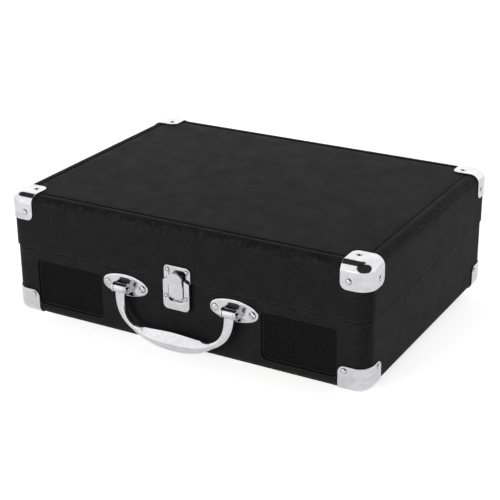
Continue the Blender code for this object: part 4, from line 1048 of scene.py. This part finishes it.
def build_rear():
    low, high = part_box("terminal_panel")
    z = (low.z + high.z) / 2
    outline = rounded_loop((low.x, low.z), (high.x, high.z), [mm(4)] * 4, 10)
    panel = slab("panel", outline, low.y, high.y)
    sunk = high.y - mm(0.45)
    rim = mm(2.4)
    inner = rounded_loop((low.x + rim, low.z + rim), (high.x - rim, high.z - rim), [mm(2.6)] * 4, 8)
    sockets = (mm(68), mm(84))
    inlet = upright("dc_inlet").x
    tools = [slab("sunk", inner, sunk, high.y + mm(3))]
    for x, radius in ((sockets[0], 4.8), (sockets[1], 4.8), (inlet, 5.2)):
        tools.append(rod("hole", mm(radius), (x, low.y - mm(4), z), (x, high.y + mm(4), z), 48))
    combine(panel, "DIFFERENCE", *tools)
    fine(softened(panel, 0.3, 3, 50), "terminal_panel")
    corner = mm(6)
    columns = (low.x + corner, high.x - corner)
    spots = [Vector((px, sunk, pz)) for px in columns for pz in (low.z + corner, high.z - corner)]
    heads = [slotted(2.3, 0.9, at, REAR, 17 * i, cross=True) for i, at in enumerate(spots)]
    fixings("terminal_screws", heads, STEEL, "base")

    low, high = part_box("rca_socket_block")
    block_rear = low.y + mm(12)
    body = brick("body", (low.x, low.y, low.z), (high.x, block_rear, high.z))
    fine(softened(body, 0.5, 3), "rca_socket_block")
    out = (high.y - block_rear) / MM
    barrel = [
        (0, out - 6.5), (1.55, out - 6.5), (1.55, out - 0.4), (1.7, out - 0.1), (2.9, out - 0.1),
        (3.0, out - 0.9), (3.3, out - 0.9), (3.4, out), (3.9, out), (4.15, out - 0.4),
        (4.15, out - 1.2), (3.95, out - 1.5), (4.15, out - 1.8), (4.2, 0.2), (0, 0.2),
    ]
    for x, look, slot, name in (
        (sockets[0], PRINT, "silver_plastic", "white"), (sockets[1], RED, "red_plastic", "red"),
    ):
        at = Vector((x, block_rear, z))
        dressed(lathe(f"socket_barrel_{name}", barrel, at, REAR, 64), CHROME, "base")
        ring = [(4.9, -0.2), (6.6, -0.2), (6.6, 0.5), (6.3, 0.8), (5.3, 0.8), (4.9, 0.5)]
        at = Vector((x, sunk, z))
        dressed(lathe(f"socket_ring_{name}", ring, at, REAR, 72, loop=True), look, "base")
    at = Vector((inlet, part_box("dc_inlet")[1].y, z))
    jack = [
        (0, -0.7), (0.6, -0.75), (1.0, -1.1), (1.1, -1.6), (1.1, -10), (2.8, -10), (2.8, -0.4),
        (3.1, 0), (4.5, 0), (4.8, -0.3), (4.8, -15), (0, -15),
    ]
    fine(lathe("jack", jack, at, REAR, 64), "dc_inlet")
    ring = [(5.3, -0.2), (7.2, -0.2), (7.2, 0.3), (6.9, 0.6), (5.6, 0.6), (5.3, 0.3)]
    trim = lathe("inlet_ring", ring, Vector((inlet, sunk, z)), REAR, 72, loop=True)
    dressed(trim, SILVER, "base")


def build_hinges():
    axis = PIVOT["lid_hinge"]
    for name in ("left", "right"):
        for half, up in (("base", -1), ("lid", 1)):
            node = f"hinge_{half}_leaf_{name}"
            low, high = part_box(node)
            x = (low.x + high.x) / 2
            half_w = mm(16)
            near = low.y
            face = near + mm(1.2)
            if up > 0:
                loop = rounded_loop((x - half_w, axis.z), (x + half_w, high.z), [0, 0, mm(4), mm(4)], 8)
            else:
                loop = rounded_loop((x - half_w, low.z), (x + half_w, axis.z), [mm(4), mm(4), 0, 0], 8)
            leaf = slab("leaf", loop, near, face)
            spans = ((-5, 5),) if up > 0 else ((-16, -5.3), (5.3, 16))
            gaps = ((-17, -5), (5, 17)) if up > 0 else ((-5.3, 5.3),)
            notch = mm(3.6)
            half_web = mm(0.8)
            cuts = []
            for a, b in gaps:
                notch_low = (x + mm(a), near - mm(3), axis.z - notch)
                cuts.append(brick("notch", notch_low, (x + mm(b), face + mm(3), axis.z + notch)))
            combine(leaf, "DIFFERENCE", *cuts)
            joined = []
            for a, b in spans:
                start = Vector((x + mm(a), axis.y, axis.z))
                stop = start + mm(b - a, 0, 0)
                joined.append(rod("knuckle", mm(2.8), start, stop, 48))
                middle = axis.z + up * mm(0.9)
                web_low = (start.x, near, middle - half_web)
                joined.append(brick("web", web_low, (stop.x, axis.y, middle + half_web)))
            combine(leaf, "UNION", *joined)
            across = (Vector((x - mm(18), axis.y, axis.z)), Vector((x + mm(18), axis.y, axis.z)))
            if up > 0:
                combine(leaf, "DIFFERENCE", rod("bore", mm(1.7), *across, 32))
            else:
                inset = mm(3, 0, 0)
                combine(leaf, "UNION", rod("pin", mm(1.2), across[0] + inset, across[1] - inset, 32))
            fine(softened(leaf, 0.25, 3, 50), node)
            row = axis.z + up * mm(10.6)
            heads = []
            for dx in (-10.5, 0, 10.5):
                at = Vector((x + mm(dx), face, row))
                heads.append(slotted(2.6, 0.7, at, REAR, 25 + dx, cross=True))
            fixings(f"hinge_screws_{half}_{name}", heads, STEEL, half)
        ends = [domed(2, 0.7, Vector((x + s * mm(16), axis.y, axis.z)), RIGHT * s) for s in (-1, 1)]
        fixings("hinge_pin_ends_" + name, ends, STEEL, "base")


def bar_loop(a, b, radius, steps=16):
    """The outline of a bar with round ends about two points."""
    heading = math.degrees(math.atan2(b[1] - a[1], b[0] - a[0]))
    far = arc(b, radius, heading - 90, heading + 90, steps)
    return far + arc(a, radius, heading + 90, heading + 270, steps)


def build_stay():
    axis = PIVOT["lid_hinge"]
    studs_y = axis.y - mm(40)
    base_at = Vector((studs_y, axis.z - mm(1.8)))
    lid_at = Vector((studs_y, axis.z + mm(8.2)))
    elbow = base_at + lid_at - Vector((axis.y, axis.z))
    thickness = mm(1.4)
    rivet_r = mm(2.4)
    for node, start, x in (("stay_lower_bar", base_at, -mm(165.2)), ("stay_upper_bar", lid_at, -mm(166.9))):
        bar = slab("bar", bar_loop(start, elbow, mm(4)), x - thickness / 2, x + thickness / 2, RIGHT)
        hole = rod("hole", rivet_r, (x - mm(3), *start), (x + mm(3), *start), 40)
        combine(bar, "DIFFERENCE", hole)
        if node == "stay_lower_bar":
            pin = rod("pin", mm(1.6), (x - mm(3), *elbow), (x - mm(0.2), *elbow), 32)
            head = domed(2.7, 0.7, Vector((x + thickness / 2, *elbow)), RIGHT, 32)
            combine(bar, "UNION", pin, head)
        else:
            hole = rod("hole", mm(2), (x - mm(3), *elbow), (x + mm(3), *elbow), 40)
            combine(bar, "DIFFERENCE", hole)
        fine(softened(bar, 0.2, 2, 50), node)
    brackets = (("stay_base_bracket", base_at, -mm(164.1)), ("stay_lid_bracket", lid_at, -mm(165.8)))
    for node, start, reach in brackets:
        low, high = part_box(node)
        outline = rounded_loop((start.x - mm(9), low.z), (start.x + mm(9), high.z), [mm(2)] * 4, 8)
        bracket = slab("bracket", outline, low.x, low.x + mm(0.8), RIGHT)
        combine(bracket, "UNION", rod("stud", mm(2), (low.x + mm(0.3), *start), (reach, *start), 40))
        fine(softened(bracket, 0.2, 2, 50), node)
        middle = (low.z + high.z) / 2
        spots = [Vector((low.x + mm(0.8), start.x + s * mm(6.3), middle)) for s in (-1, 1)]
        heads = [domed(1.5, 0.18, at, RIGHT) for at in spots]
        fixings(node + "_rivets", heads, STEEL, BODY_OF[node])


# ---------------------------------------------------------------- deck and drive


def build_deck():
    low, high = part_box("deck_plate")
    top = high.z
    loop = rounded_loop((low.x, low.y), (high.x, high.y), [mm(CASE_R - WALL)] * 4, 10)
    deck = slab("deck", loop, top - mm(2.5), top, UP)
    adapter = upright("adapter_45")
    arm = PIVOT["arm_swing"]

    def bore(at, radius, floor=mm(50), steps=64):
        return rod("hole", mm(radius), (at.x, at.y, floor), (at.x, at.y, top + mm(8)), steps)

    cup_low = (adapter.x, adapter.y, low.z)
    cup = rod("cup", mm(21.1), cup_low, (adapter.x, adapter.y, top - mm(1)), 96)
    combine(deck, "UNION", cup)
    holes = [
        bore(adapter, 19.5, mm(54.4), 96), bore(upright("spindle"), 4.2), bore(upright("motor"), 9),
        bore(arm, 4.5), bore(upright("volume_knob"), 3.6), bore(upright("selector_knob"), 3.6),
        bore(upright("headphone_socket"), 4.2),
    ]
    lean = math.radians(-4)
    lifter = arm + mm(-34 * math.sin(lean), -34 * math.cos(lean), 0)
    holes.append(bore(lifter, 2.7))
    for node in ("speed_switch", "auto_stop_switch"):
        at = upright(node)
        reach = mm(6.5, 1.7, 0)
        holes.append(brick("slot", at - reach + mm(0, 0, 50), at + reach + mm(0, 0, 70)))
    combine(deck, "DIFFERENCE", *holes)
    fine(softened(deck, 0.5, 3, 50), "deck_plate")

    spindle = upright("spindle") + Vector((0, 0, top))
    lip = [(97.2, -0.1), (97.4, 0.5), (98, 0.8), (99.4, 0.8), (100, 0.5), (100.2, -0.1)]
    dressed(lathe("deck_ring", lip, spindle, UP, 160, loop=True), PLASTIC, "base")
    lip = [(19.6, -0.2), (19.6, 0.3), (20, 0.6), (21, 0.6), (21.4, 0.3), (21.4, -0.1)]
    at = adapter + Vector((0, 0, top))
    dressed(lathe("adapter_well_ring", lip, at, UP, 96, loop=True), PLASTIC, "base")

    prints = []
    for node, marks, radius in (("volume_knob", 11, 9.5), ("selector_knob", 3, 8.5)):
        centre = upright(node)
        for i in range(marks):
            angle = math.radians(-135 + 270 * i / (marks - 1))
            length = 2.4 if i in (0, marks - 1) else 1.6
            tick = brick("tick", mm(-0.25, radius + 2, 0), mm(0.25, radius + 2 + length, 0.08))
            place = Matrix.Translation(centre + Vector((0, 0, top)))
            tick.data.transform(place @ Matrix.Rotation(-angle, 4, "Z"))
            prints.append(tick)
    speed = upright("speed_switch") + Vector((0, -mm(7.6), top))
    for text, dx in (("33", -6), ("45", 0), ("78", 6)):
        prints.append(figures(text, 4, speed + mm(dx, 0, 0.02)))
        prints.append(brick("tick", speed + mm(dx * 0.6 - 0.2, 3, 0), speed + mm(dx * 0.6 + 0.2, 4.6, 0.08)))
    stop = upright("auto_stop_switch") + Vector((0, -mm(5.4), top))
    for dx, radius in ((-3.6, 0.8), (3.6, 0.8)):
        prints.append(rod("dot", mm(radius), stop + mm(dx, 0, 0), stop + mm(dx, 0, 0.08), 24))
    fixings("deck_marks", prints, PRINT, "base")
    spots = [Vector((x, y, top)) for x in (-mm(160), mm(160)) for y in (low.y + mm(9), high.y - mm(9))]
    heads = [slotted(2.6, 0.9, at, UP, 31 * i, cross=True) for i, at in enumerate(spots)]
    fixings("deck_screws", heads, STEEL, "base")


def belt_ring(at, heading, off, height, reach=76, steps=64):
    """The belt's loop round the platter's ring and the pulley, at a distance from both."""
    big = 60 + off
    small = 5.5 + off
    lean = math.degrees(math.acos((big - small) / reach))
    points = arc((0, 0), big, lean, 360 - lean, steps) + arc((reach, 0), small, -lean, lean, 16)
    turn = Matrix.Translation(at) @ Matrix.Rotation(heading, 4, "Z")
    return [turn @ mm(x, y, height) for x, y in points]


def build_drive():
    axis = upright("spindle")
    motor = upright("motor")
    pin = [
        (0, 82.5), (1.2, 82.4), (2.2, 81.9), (3.0, 80.9), (3.5, 79.3), (3.5, 61.9), (6.8, 61.9),
        (7, 61.7), (7, 61.3), (3.5, 61.3), (3.5, 58.2), (6.5, 58.2), (6.5, 55), (0, 55),
    ]
    fine(lathe("spindle", pin, axis, UP, 64), "spindle", BRUSHED)
    dish = [
        (3.9, 73), (94.2, 73), (94.8, 72.8), (95, 72.3), (95, 70.6), (94.5, 70.2), (94.5, 69.7),
        (95, 69.3), (95, 67.7), (94.5, 67.3), (94.5, 66.8), (95, 66.4), (95, 64.6), (94.4, 64),
        (93, 64), (93, 70.5), (60, 70.5), (60, 63.2), (57.5, 63.2), (57.5, 70.5), (9, 70.5), (9, 62.2),
        (3.9, 62.2),
    ]
    fine(lathe("platter", dish, axis, UP, 192, loop=True), "platter")
    mat = [
        (4.2, 74.3), (4.5, 74.5), (48.6, 74.5), (49, 74.25), (49.4, 74.5), (87.6, 74.5), (88, 74.25),
        (88.4, 74.5), (91.5, 74.5), (92, 74.2), (92, 73.6), (91.6, 73.3), (4.2, 73.3),
    ]
    fine(lathe("mat", mat, axis, UP, 160, loop=True), "slip_mat")
    can = [
        (0, 46), (1.8, 46), (1.8, 58.2), (5.7, 58.2), (6, 57.9), (6, 56), (14.2, 56), (15, 55.2),
        (15, 50.3), (14.7, 50), (14.7, 49.5), (15, 49.2), (15, 37), (14, 36), (0, 36),
    ]
    fine(lathe("motor", can, motor, UP, 72), "motor")
    wheel = [
        (0, 69.9), (7.2, 69.9), (7.5, 69.6), (7.5, 69), (7.2, 68.7), (5.5, 68.7), (5.5, 63.4),
        (7.2, 63.4), (7.5, 63.1), (7.5, 62.3), (7.2, 62), (1.2, 62), (1.2, 47), (0, 47),
    ]
    fine(lathe("pulley", wheel, motor, UP, 64), "motor_pulley")
    towards = motor - axis
    heading = math.atan2(towards.y, towards.x)
    section = (
        (0.3, 64), (0.3, 68.1), (0.5, 68.3), (0.9, 68.3), (1.1, 68.1), (1.1, 64), (0.9, 63.8),
        (0.5, 63.8),
    )
    rings = [belt_ring(axis, heading, off, z) for off, z in section]
    fine(skin("belt", rings, loop=True), "drive_belt")

    driver = [
        (0, -3), (2.5, -3.4), (4.6, -4.7), (5.1, -5.5), (10, -3.7), (15.2, -1.6), (15.6, -0.8),
        (16.5, -0.4), (17.3, -0.8), (17.8, -1.1), (18, 0), (19.6, 0), (20, -0.4), (20, -2.5),
        (17, -3.2), (12, -12), (13.6, -12.6), (14, -13), (14, -19.6), (13.6, -20), (0, -20),
    ]
    for side in ("left", "right"):
        node = "speaker_driver_" + side
        low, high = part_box(node)
        at = Vector(((low.x + high.x) / 2, low.y, (low.z + high.z) / 2))
        fine(lathe("driver", driver, at, FRONT, 72), node)


def build_circuit():
    low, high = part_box("circuit_board")
    board_low = mm(16)
    board_top = mm(17.6)
    board = brick("board", (low.x, low.y, board_low), (high.x, high.y, board_top))
    posts = []
    for x in (low.x + mm(5), high.x - mm(5)):
        for y in (low.y + mm(4), high.y - mm(4)):
            posts.append(rod("post", mm(3), (x, y, low.z), (x, y, board_low + mm(0.4)), 24))
    combine(board, "UNION", *posts)
    fine(softened(board, 0.2, 2, 50), "circuit_board")
    base = Vector((low.x, low.y, board_top))
    sleeves = []
    tops = []
    for x, y, radius, height in ((20, 8, 5, 13.5), (34, 8, 4, 10.5), (66, 26, 3.5, 8.5)):
        at = base + mm(x, y, 0)
        can = [
            (0, 0), (radius, 0), (radius, 1), (radius - 0.4, 1.5), (radius, 2), (radius, height - 0.6),
            (radius - 0.6, height), (radius - 1.1, height - 0.2), (0, height - 0.2),
        ]
        sleeves.append(lathe("can", can, at, UP, 40))
        tops.append(rod("top", mm(radius - 1.2), at + mm(0, 0, height - 0.3), at + mm(0, 0, height), 32))
    chip = softened(brick("chip", base + mm(39, 18, 0.6), base + mm(57, 30, 8.4)), 0.4, 2)
    sleeves.append(chip)
    fixings("capacitors_and_chip", sleeves, PLASTIC, "base")
    for i in range(6):
        x = 41 + 2.8 * i
        tops.append(brick("leg", base + mm(x, 16.8, 0), base + mm(x + 0.8, 18.2, 2.4)))
        tops.append(brick("leg", base + mm(x, 29.8, 0), base + mm(x + 0.8, 31.2, 2.4)))
    tops.append(brick("sink", base + mm(74, 0.5, 0), base + mm(75.2, 24.5, 17)))
    for i in range(6):
        y = 1 + 4.4 * i
        tops.append(brick("fin", base + mm(75, y, 0), base + mm(79, y + 1, 17)))
    fixings("board_metal", tops, STEEL, "base")
    parts = []
    for i in range(7):
        start = base + mm(8 + 4.2 * i, 34, 1.5)
        parts.append(rod("resistor", mm(1.1), start, start + mm(0, 5.5, 0), 16))
    fixings("resistors", parts, RED, "base")


# ---------------------------------------------------------------- arm and controls


def build_arm():
    pivot = PIVOT["arm_swing"].copy()
    pivot.z = mm(88)
    ground = Vector((pivot.x, pivot.y, 0))
    cue = Vector((mm(149.6), pivot.y - mm(6), mm(72)))
    foot = [
        (3.6, 75.8), (3.8, 76), (13.6, 76), (14.6, 75.8), (16.6, 74.4), (17, 73.6), (17.4, 65),
        (17.6, 63.6), (18.2, 62.4), (18.5, 61.6), (18.5, 61.3), (3.6, 61.3),
    ]
    base = lathe("base", foot, ground, UP, 96, loop=True)
    ear = brick("ear", (mm(137.75), cue.y - mm(4.5), mm(61.3)), (mm(147.25), cue.y + mm(4.5), mm(75.6)))
    combine(base, "UNION", softened(ear, 0.8, 3))
    bore = rod("bore", mm(1.7), (mm(142.5), cue.y, cue.z), (mm(149.5), cue.y, cue.z), 32)
    combine(base, "DIFFERENCE", bore)
    fine(base, "tonearm_base")

    table = [
        (0, 79.5), (12.8, 79.5), (13.6, 79.2), (14, 78.5), (14, 77), (13.5, 76.3), (3, 76.3), (3, 53),
        (0, 53),
    ]
    yoke = lathe("yoke", table, ground, UP, 80)
    for end in (-1, 1):
        inside = pivot.x + end * mm(7.6) - mm(1)
        outside = inside + mm(2)
        half = mm(4.5)
        top_z = mm(88.1)
        cheek = brick("cheek", (inside, pivot.y - half, mm(78.5)), (outside, pivot.y + half, top_z))
        top = rod("cheek_top", half, (inside, pivot.y, top_z), (outside, pivot.y, top_z), 48)
        combine(yoke, "UNION", cheek, top)
    across = mm(12, 0, 0)
    combine(yoke, "DIFFERENCE", rod("bore", mm(1.7), pivot - across, pivot + across, 32))
    fine(softened(yoke, 0.3, 3, 50), "tonearm_yoke")

    length = 183.5
    tube_profile = [
        (0, 0), (2.9, 0), (3.5, 0.6), (3.5, 27), (3.5, 170), (3.2, 170.3), (3.2, 171.4), (3.5, 171.8),
        (3.5, 174), (3.2, 174.4), (3.2, 175.4), (3.5, 175.8), (3.5, length - 0.5), (3.0, length),
        (0, length),
    ]
    tube = lathe("tube", tube_profile, pivot + mm(0, 34, 0), FRONT, 56)
    block = softened(brick("block", pivot - mm(6, 7, 4.5), pivot + mm(6, 7, 4.5)), 0.9, 4)
    reach = mm(9.3, 0, 0)
    combine(tube, "UNION", block, rod("pin", mm(1.3), pivot - reach, pivot + reach, 32))
    fine(tube, "tonearm_tube")

    weight = [
        (3.95, 0), (7.3, 0), (8.1, -0.3), (8.5, -0.9), (8.5, -3.8), (8.0, -4.2), (8.0, -4.9),
        (8.5, -5.3), (8.5, -12.9), (8.1, -13.7), (7.3, -14), (3.95, -14),
    ]
    at = pivot + mm(0, 17, 0)
    fine(lathe("weight", weight, at, FRONT, loop=True, flutes=(36, 0.3, 7, 8)), "counterweight")

    lean = Matrix.Rotation(math.radians(-20), 4, "Z")
    start = Matrix.Translation(pivot - mm(0, 151, 0)) @ lean
    loop = rounded_loop((-mm(8.5), -mm(39.4)), (mm(8.5), -mm(0.4)), [mm(3)] * 4, 8)
    shell = slab("shell", loop, -mm(4), mm(4), UP)
    softened(shell, 1.4, 5, 50)
    for side in (-1, 1):
        x = side * 4.6
        combine(shell, "DIFFERENCE", brick("slot", mm(x - 0.9, -33, 2.6), mm(x + 0.9, -19, 6)))
    lift = []
    for x, z in ((7.4, 2.2), (10.2, 2.4), (12.6, 3.0), (14.4, 4.2), (15.2, 5.8)):
        lift.append([mm(x, -33, z), mm(x, -27, z), mm(x - 0.5, -27, z + 1.0), mm(x - 0.5, -33, z + 1.0)])
    combine(shell, "UNION", softened(skin("lift", lift), 0.3, 2, 50))
    shell.data.transform(start)
    fine(shell, "headshell")
    screws = [slotted(1.6, 0.9, mm(s * 4.6, -26, 2.6), UP, 40 * s) for s in (-1, 1)]
    pins = [rod("pin", mm(0.4), mm(x, -14.6, -6), mm(x, -11.8, -6), 12) for x in (-3.6, -1.2, 1.2, 3.6)]
    fittings = merged("headshell_fittings", screws + pins)
    fittings.data.transform(start)
    dressed(fittings, BRASS, BODY_OF["headshell"])
    body = brick("body", mm(-6.5, -37.4, -9.7), mm(6.5, -15.4, -4.3))
    softened(body, 0.7, 3)
    for side in (-1, 1):
        step = brick("step", mm(side * 6.5 - 1, -39, -11), mm(side * 6.5 + 1, -24, -7.4))
        combine(body, "DIFFERENCE", step)
    stylus = lathe("stylus", [(0, -9.2), (1.5, -9.4), (0.35, -11.8), (0, -11.8)], mm(0, -34, 0), UP, 24)
    body = merged("cartridge", [body, stylus])
    body.data.transform(start)
    fine(body, "cartridge")

    for node in ("arm_rest", "arm_clip", "arm_lifter"):
        refined(node, 0.35, 3, 50)
    hub = rod("hub", mm(4.5), cue - mm(1.8, 0, 0), cue + mm(1.8, 0, 0), 48)
    lever = combine(
        hub,
        "UNION",
        rod("pin", mm(1.3), cue - mm(6.5, 0, 0), cue - mm(1.5, 0, 0), 32),
        brick("arm", cue - mm(1.2, 25, 1.5), cue + mm(1.2, -1, 1.5)),
        brick("pad", cue - mm(3, 28, 1.2), cue + mm(3, -22, 1.2)),
    )
    fine(softened(lever, 0.45, 3, 50), "cue_lever")


def build_controls():
    for node, radius in (("volume_knob", 9.5), ("selector_knob", 8.5)):
        at = upright(node)
        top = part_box(node)[1].z / MM
        profile = [
            (0, top - 0.4), (radius - 3.4, top - 0.4), (radius - 3.0, top), (radius - 1.9, top),
            (radius - 1.2, top - 0.4), (radius - 0.8, top - 1.2), (radius - 0.3, 64.4), (radius, 63.8),
            (radius, 61.9), (radius - 0.2, 61.7), (3, 61.7), (3, 54), (0, 54),
        ]
        fine(lathe("knob", profile, at, flutes=(36, 0.35, 5, 6)), node)
        line = brick("line", mm(-0.35, -(radius - 0.9), top - 0.6), mm(0.35, -(radius - 3.6), top))
        line.data.transform(Matrix.Translation(at))
        line.name = node + "_line"
        dressed(line, PRINT, BODY_OF[node])
    for node in ("speed_switch", "auto_stop_switch"):
        at = upright(node)
        cap = brick("cap", at + mm(-4, -2.5, 61.3), at + mm(4, 2.5, 64.7))
        for dx in (-2.4, -1.2, 0, 1.2, 2.4):
            groove = brick("groove", at + mm(dx - 0.3, -4, 64.1), at + mm(dx + 0.3, 4, 66))
            combine(cap, "DIFFERENCE", groove)
        combine(cap, "UNION", brick("stalk", at + mm(-1.5, -1.2, 55.3), at + mm(1.5, 1.2, 62.3)))
        fine(softened(cap, 0.2, 2, 50), node)
    socket = [
        (0, 48), (1.8, 48), (1.8, 62.3), (2.1, 62.6), (4.6, 62.6), (5.3, 62.3), (5.6, 61.9),
        (5.6, 61.3), (3.8, 61.3), (3.8, 45), (0, 45),
    ]
    fine(lathe("socket", socket, upright("headphone_socket"), UP, 56), "headphone_socket")
    puck = [
        (3.7, 65.7), (4.0, 66), (7.6, 66), (8.1, 65.9), (8.7, 65.3), (9.6, 65.2), (17.8, 64.9),
        (18.6, 64.7), (19, 64.2), (19, 55.3), (18.5, 54.8), (4.2, 54.8), (3.7, 55.3),
    ]
    at = upright("adapter_45")
    adapter = lathe("adapter", puck, at, UP, 96, loop=True)
    for i in range(3):
        angle = TAU * (i + 0.25) / 3
        spot = at + mm(13.4 * math.cos(angle), 13.4 * math.sin(angle), 50)
        combine(adapter, "DIFFERENCE", rod("hole", mm(2.6), spot, spot + mm(0, 0, 20), 32))
    fine(softened(adapter, 0.25, 2, 50), "adapter_45")


# ---------------------------------------------------------------- studio


def backdrop():
    """A pale floor and soft light; the sky has two dark patches for the chrome to show."""
    bm = bmesh.new()
    bmesh.ops.create_grid(bm, x_segments=1, y_segments=1, size=6.0)
    floor = as_object("floor", bm)
    look, tree, shader = new_look("floor_paper", 0.9, specular_ior_level=0.1, emission_strength=0.68)
    paper = noise(tree, in_mm(tree), 90, 3)
    pale = blend_colours(tree, spread(tree, paper, 0, 1), (0.86, 0.86, 0.86), (0.9, 0.9, 0.9))
    wire(tree, shader, base_color=pale)
    shader.inputs["Emission Color"].default_value = (1, 1, 1, 1)
    floor.data.materials.append(look)

    world = bpy.data.worlds.new("studio")
    bpy.context.scene.world = world
    world.use_nodes = True
    tree = world.node_tree
    shell = tree.nodes["Background"]
    direction = add(tree, "TexCoord").outputs["Generated"]
    level = 1.0
    patches = (((-0.42, 0.10, 0.90), 0.82, 0.88), ((0.50, -0.55, 0.67), 0.62, 0.70))
    for towards, bright_to, dark_from in patches:
        nearness = add(tree, "VectorMath", {0: direction, 1: towards}, operation="DOT_PRODUCT")
        patch = spread(tree, nearness.outputs["Value"], 1.0, 0.03, bright_to, dark_from)
        level = math_node(tree, "MULTIPLY", patch, level)
    tree.links.new(level, shell.inputs["Color"])
    # mirrors see the white boards brighter than matt surfaces are lit by them
    path = add(tree, "LightPath")
    tree.links.new(spread(tree, path.outputs["Is Glossy Ray"], 0.75, 1.6, 0, 1), shell.inputs["Strength"])
    plain = add(tree, "Background", {"Color": (1, 1, 1, 1), "Strength": 1.05})
    seen = path.outputs["Is Camera Ray"]
    both = add(tree, "MixShader", {0: seen, 1: shell.outputs[0], 2: plain.outputs[0]})
    tree.links.new(both.outputs[0], tree.nodes["World Output"].inputs["Surface"])

    for name, at, size, power in (
        ("overhead", (0.1, 0.1, 2.2), (2.6, 2.2), 6),
        ("front", (-0.9, -2.6, 0.7), (1.8, 1.0), 62),
        ("right_side", (2.3, 0.6, 0.9), (1.6, 1.4), 13),
    ):
        lamp = bpy.data.lights.new(name, "AREA")
        lamp.shape = "RECTANGLE"
        lamp.size, lamp.size_y = size
        lamp.energy = power
        holder = bpy.data.objects.new(name, lamp)
        bpy.context.scene.collection.objects.link(holder)
        holder.location = at
        holder.visible_glossy = False
        aim = Vector((0, 0, 0.06)) - Vector(at)
        holder.rotation_euler = aim.to_track_quat("-Z", "Y").to_euler()


def camera():
    azimuth, elevation, roll = (math.radians(a) for a in (29.364, 22.40, -0.427))
    target = Vector((0, MIDDLE.y, 0.0619))
    back = Vector(
        (
            math.sin(azimuth) * math.cos(elevation),
            -math.cos(azimuth) * math.cos(elevation),
            math.sin(elevation),
        )
    )
    right = Vector((math.cos(azimuth), math.sin(azimuth), 0))
    up = back.cross(right)
    tilted = right * math.cos(roll) + up * math.sin(roll)
    upright = back.cross(tilted)
    lens = bpy.data.cameras.new("camera")
    lens.lens = 95.05
    lens.sensor_width = 36
    lens.shift_x = -0.0074
    lens.shift_y = -0.0236
    lens.clip_start = 0.01
    view = bpy.data.objects.new("camera", lens)
    bpy.context.scene.collection.objects.link(view)
    axes = Matrix((tilted, upright, back)).transposed().to_4x4()
    view.matrix_world = Matrix.Translation(target + back * 1.21679) @ axes
    bpy.context.scene.camera = view


camera()
backdrop()
build_base()
build_lid()
build_corners()
build_latch()
build_handle()
build_handle_plates()
build_grilles()
build_underside()
build_rear()
build_hinges()
build_stay()
build_deck()
build_drive()
build_circuit()
build_arm()
build_controls()

for node, obj in NODES.items():
    obj.data.materials.clear()
    obj.data.materials.append(SLOT_LOOKS[SLOT_OF[node]])

bpy.context.scene.view_settings.view_transform = "Standard"
